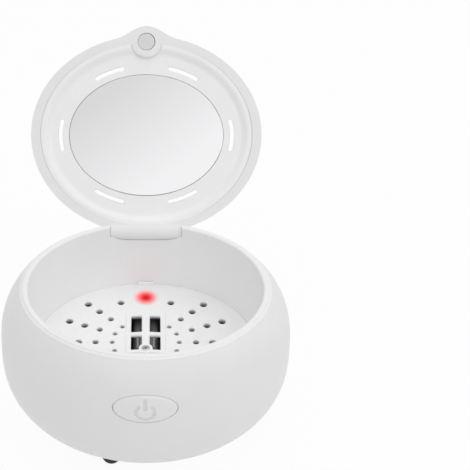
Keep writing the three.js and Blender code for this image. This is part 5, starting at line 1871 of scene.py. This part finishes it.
class DRYER_OT_finishes(bpy.types.Operator):
    """Makes the materials and gives them to the CAD pieces that stay."""

    bl_idname = "dryer.finishes"
    bl_label = "Finishes"

    def execute(self, context):
        finish = chosen("finish")
        shell_plastic()
        liner_plastic()
        tray_plastic()
        lens_plastic()
        mirror_finish()
        lamp_glass()
        board_finish()
        plated_metal("steel", finish.steel_tint, 0.3)
        # Painted shade: the reflector and heater plate get the well's dark grey for the shade they lie in,
        # not the bright metal they are made of.
        plated_metal("painted_shade_sheet", finish.well_shade_tint, 0.5, (1.0, 0.08, 1.0))
        plated_metal("magnet_plating", finish.magnet_tint, 0.42)
        plated_metal("aluminium", finish.aluminium_tint, 0.32, (1.0, 0.08, 1.0))
        plated_metal("copper_core", finish.copper_tint, 0.35, (0.1, 1.0, 1.0))
        # The lamp holder's dark ceramic is painted shade.
        moulded("ceramic", finish.ceramic_shade_tint, 0.75, 1400.0, 0.3, 0.08)
        moulded("heater_stone", finish.stone_tint, 0.8, 1200.0, 0.35, 0.12)
        moulded("black_plastic", finish.black_tint, 0.45, 2600.0, 0.2, 0.1)
        moulded("black_rubber", finish.rubber_tint, 0.7, 2200.0, 0.35, 0.15)
        moulded("foam_tape", finish.foam_tint, 0.9, 900.0, 0.6, 0.1)
        kept = {
            # The reflector and heater plate take the dark sheet of painted shade.
            "lamp_reflector": "painted_shade_sheet",
            "heater_plate": "painted_shade_sheet",
            "lamp_holder": "ceramic",
            "ptc_element": "heater_stone",
            "main_board": "board_green",
            "usb_board": "board_green",
            "switch_board": "board_green",
            "lamp_transformer": "copper_core",
            "timer_chip": "black_plastic",
            "tact_switch": "black_plastic",
            "capacitor": "aluminium",
            "lid_sensor": "lamp_quartz",
            "hinge_pin": "steel",
            "board_screw_1": "steel",
            "board_screw_2": "steel",
            "mirror_pad": "foam_tape",
        }
        for node, name in kept.items():
            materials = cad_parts[node].data.materials
            for index in range(len(materials)):
                materials[index] = made(name)
        return {"FINISHED"}


class DRYER_OT_stage(bpy.types.Operator):
    """Sets up the floor, the soft lights and the camera."""

    bl_idname = "dryer.stage"
    bl_label = "Stage"

    def soft_light(self, name, power, size, at, target=(0.0, 0.0, 0.03)):
        light = bpy.data.lights.new(name, "AREA")
        light.energy = power
        light.size = size
        holder = bpy.data.objects.new(name, light)
        bpy.context.scene.collection.objects.link(holder)
        holder.location = at
        holder.rotation_euler = (Vector(target) - Vector(at)).to_track_quat("-Z", "Y").to_euler()

    def seen_white(self, nodes, link, shaded, output, strength):
        """White to the camera and in reflections, with the shading left a little for the shadow."""
        rays = nodes.new("ShaderNodeLightPath").outputs
        seen = reckoned(nodes, link, "MAXIMUM", rays["Is Camera Ray"], rays["Is Glossy Ray"])
        both = reckoned(nodes, link, "MAXIMUM", seen, rays["Is Transmission Ray"])
        share = reckoned(nodes, link, "MULTIPLY", both, strength)
        white = nodes.new("ShaderNodeEmission")
        link(self.one_of(nodes, link, share, shaded, white.outputs["Emission"]), output)

    def one_of(self, nodes, link, share, first, second):
        """Two shaders, mixed by a share."""
        mix = nodes.new("ShaderNodeMixShader")
        for socket, value in zip(mix.inputs, (share, first, second)):
            link(value, socket)
        return mix.outputs["Shader"]

    def floor(self):
        bpy.ops.object.select_all(action="DESELECT")
        low = min(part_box("foot_" + str(number))[0].z for number in range(1, 5))
        bpy.ops.mesh.primitive_plane_add(size=6, location=(0, 0, low))
        ground = bpy.context.object
        ground.name = "stage_floor"
        material, nodes, link, shader = start_material("stage_floor", 0.9)
        shader.inputs["Base Color"].default_value = (0.9, 0.9, 0.9, 1.0)
        output = nodes["Material Output"].inputs["Surface"]
        self.seen_white(nodes, link, shader.outputs["BSDF"], output, 0.94)
        ground.data.materials.append(material)

    def surroundings(self, stage):
        """A pale room that looks white, with a soft edge between two tones in what shines."""
        world = bpy.data.worlds.new("pale_room")
        world.use_nodes = True
        bpy.context.scene.world = world
        nodes = world.node_tree.nodes
        link = world.node_tree.links.new
        room = nodes["Background"]
        room.inputs["Color"].default_value = (1.0, 1.0, 1.0, 1.0)
        direction = nodes.new("ShaderNodeTexCoord").outputs["Generated"]
        split = nodes.new("ShaderNodeSeparateXYZ")
        link(direction, split.inputs["Vector"])
        lift = ranged(nodes, link, split.outputs["Z"], stage.ambient, stage.ambient_high, 0.1, 0.9)
        link(lift, room.inputs["Strength"])
        edge = (0, 0, stage.shine_lift)
        from_edge = reckoned(
            nodes, link, "SUBTRACT", direction, edge, kind="VectorMath", result="Vector")
        slope = reckoned(nodes, link, "DOT_PRODUCT", from_edge, stage.shine_slope, kind="VectorMath")
        shine = nodes.new("ShaderNodeBackground")
        white = nodes.new("ShaderNodeBackground")
        for lit in (shine, white):
            lit.inputs["Color"].default_value = (1.0, 1.0, 1.0, 1.0)
        link(ranged(nodes, link, slope, 0.78, 1.0, -0.6, 0.5), shine.inputs["Strength"])
        rays = nodes.new("ShaderNodeLightPath").outputs
        through = reckoned(nodes, link, "MAXIMUM", rays["Is Camera Ray"], rays["Is Transmission Ray"])
        pale, glossy, plain = [node.outputs["Background"] for node in (room, shine, white)]
        shining = self.one_of(nodes, link, rays["Is Glossy Ray"], pale, glossy)
        link(self.one_of(nodes, link, through, shining, plain), nodes["World Output"].inputs["Surface"])

    def camera(self, stage):
        data = bpy.data.cameras.new("camera")
        data.lens = stage.camera_lens
        data.sensor_width = 36
        data.shift_x = stage.shift_x
        data.shift_y = stage.shift_y
        data.clip_start = 0.01
        holder = bpy.data.objects.new("camera", data)
        bpy.context.scene.collection.objects.link(holder)
        flat = stage.camera_distance * math.cos(stage.camera_lift)
        away = Vector((
            flat * math.sin(stage.camera_turn), -flat * math.cos(stage.camera_turn),
            stage.camera_distance * math.sin(stage.camera_lift)))
        target = Vector((0, 0, stage.camera_target))
        holder.location = target + away
        holder.rotation_euler = (-away).to_track_quat("-Z", "Y").to_euler()
        bpy.context.scene.camera = holder

    def execute(self, context):
        stage = chosen("stage")
        context.scene.view_settings.view_transform = "Standard"
        self.floor()
        self.surroundings(stage)
        self.soft_light("key_light", stage.key, 0.5, (0.55, -0.25, 0.5))
        self.soft_light("fill_light", stage.fill, 0.6, (-0.6, -0.35, 0.35))
        self.soft_light("front_light", stage.front, 0.6, (0.0, -0.75, 0.35))
        self.soft_light("top_light", stage.top, 0.7, (0.1, 0.15, 0.75))
        self.camera(stage)
        return {"FINISHED"}


class DRYER_PT_panel(bpy.types.Panel):
    """Lists the pieces of the drying box."""

    bl_idname = "DRYER_PT_panel"
    bl_label = "Dryer Box"
    bl_space_type = "VIEW_3D"
    bl_region_type = "UI"
    bl_category = "Dryer Box"

    def draw(self, context):
        for operator in OPERATORS:
            self.layout.operator(operator.bl_idname)


GROUPS = {
    "dryer_form": PebbleForm,
    "dryer_housing": HousingSizes,
    "dryer_bowl": BowlSizes,
    "dryer_tray": TraySizes,
    "dryer_lamp": LampSizes,
    "dryer_button": ButtonSizes,
    "dryer_inlet": InletSizes,
    "dryer_lid": LidSizes,
    "dryer_base": BaseSizes,
    "dryer_finish": Finishes,
    "dryer_stage": StageSettings,
}

OPERATORS = [
    DRYER_OT_finishes,
    DRYER_OT_housing,
    DRYER_OT_bowl,
    DRYER_OT_tray,
    DRYER_OT_grille,
    DRYER_OT_screws,
    DRYER_OT_lamp,
    DRYER_OT_button,
    DRYER_OT_inlet,
    DRYER_OT_base,
    DRYER_OT_lid,
    DRYER_OT_lining,
    DRYER_OT_mirror,
    DRYER_OT_stage,
]


def register():
    for name, group in GROUPS.items():
        bpy.utils.register_class(group)
        setattr(bpy.types.Scene, name, PointerProperty(type=group))
    for operator in OPERATORS:
        bpy.utils.register_class(operator)
    bpy.utils.register_class(DRYER_PT_panel)


def unregister():
    bpy.utils.unregister_class(DRYER_PT_panel)
    for operator in reversed(OPERATORS):
        bpy.utils.unregister_class(operator)
    for name, group in GROUPS.items():
        delattr(bpy.types.Scene, name)
        bpy.utils.unregister_class(group)


def main():
    register()
    bpy.ops.dryer.finishes()
    bpy.ops.dryer.housing()
    bpy.ops.dryer.bowl()
    bpy.ops.dryer.tray()
    bpy.ops.dryer.grille()
    bpy.ops.dryer.screws()
    bpy.ops.dryer.lamp()
    bpy.ops.dryer.button()
    bpy.ops.dryer.inlet()
    bpy.ops.dryer.base()
    bpy.ops.dryer.lid()
    bpy.ops.dryer.lining()
    bpy.ops.dryer.mirror()
    bpy.ops.dryer.stage()


if __name__ == "__main__":
    main()
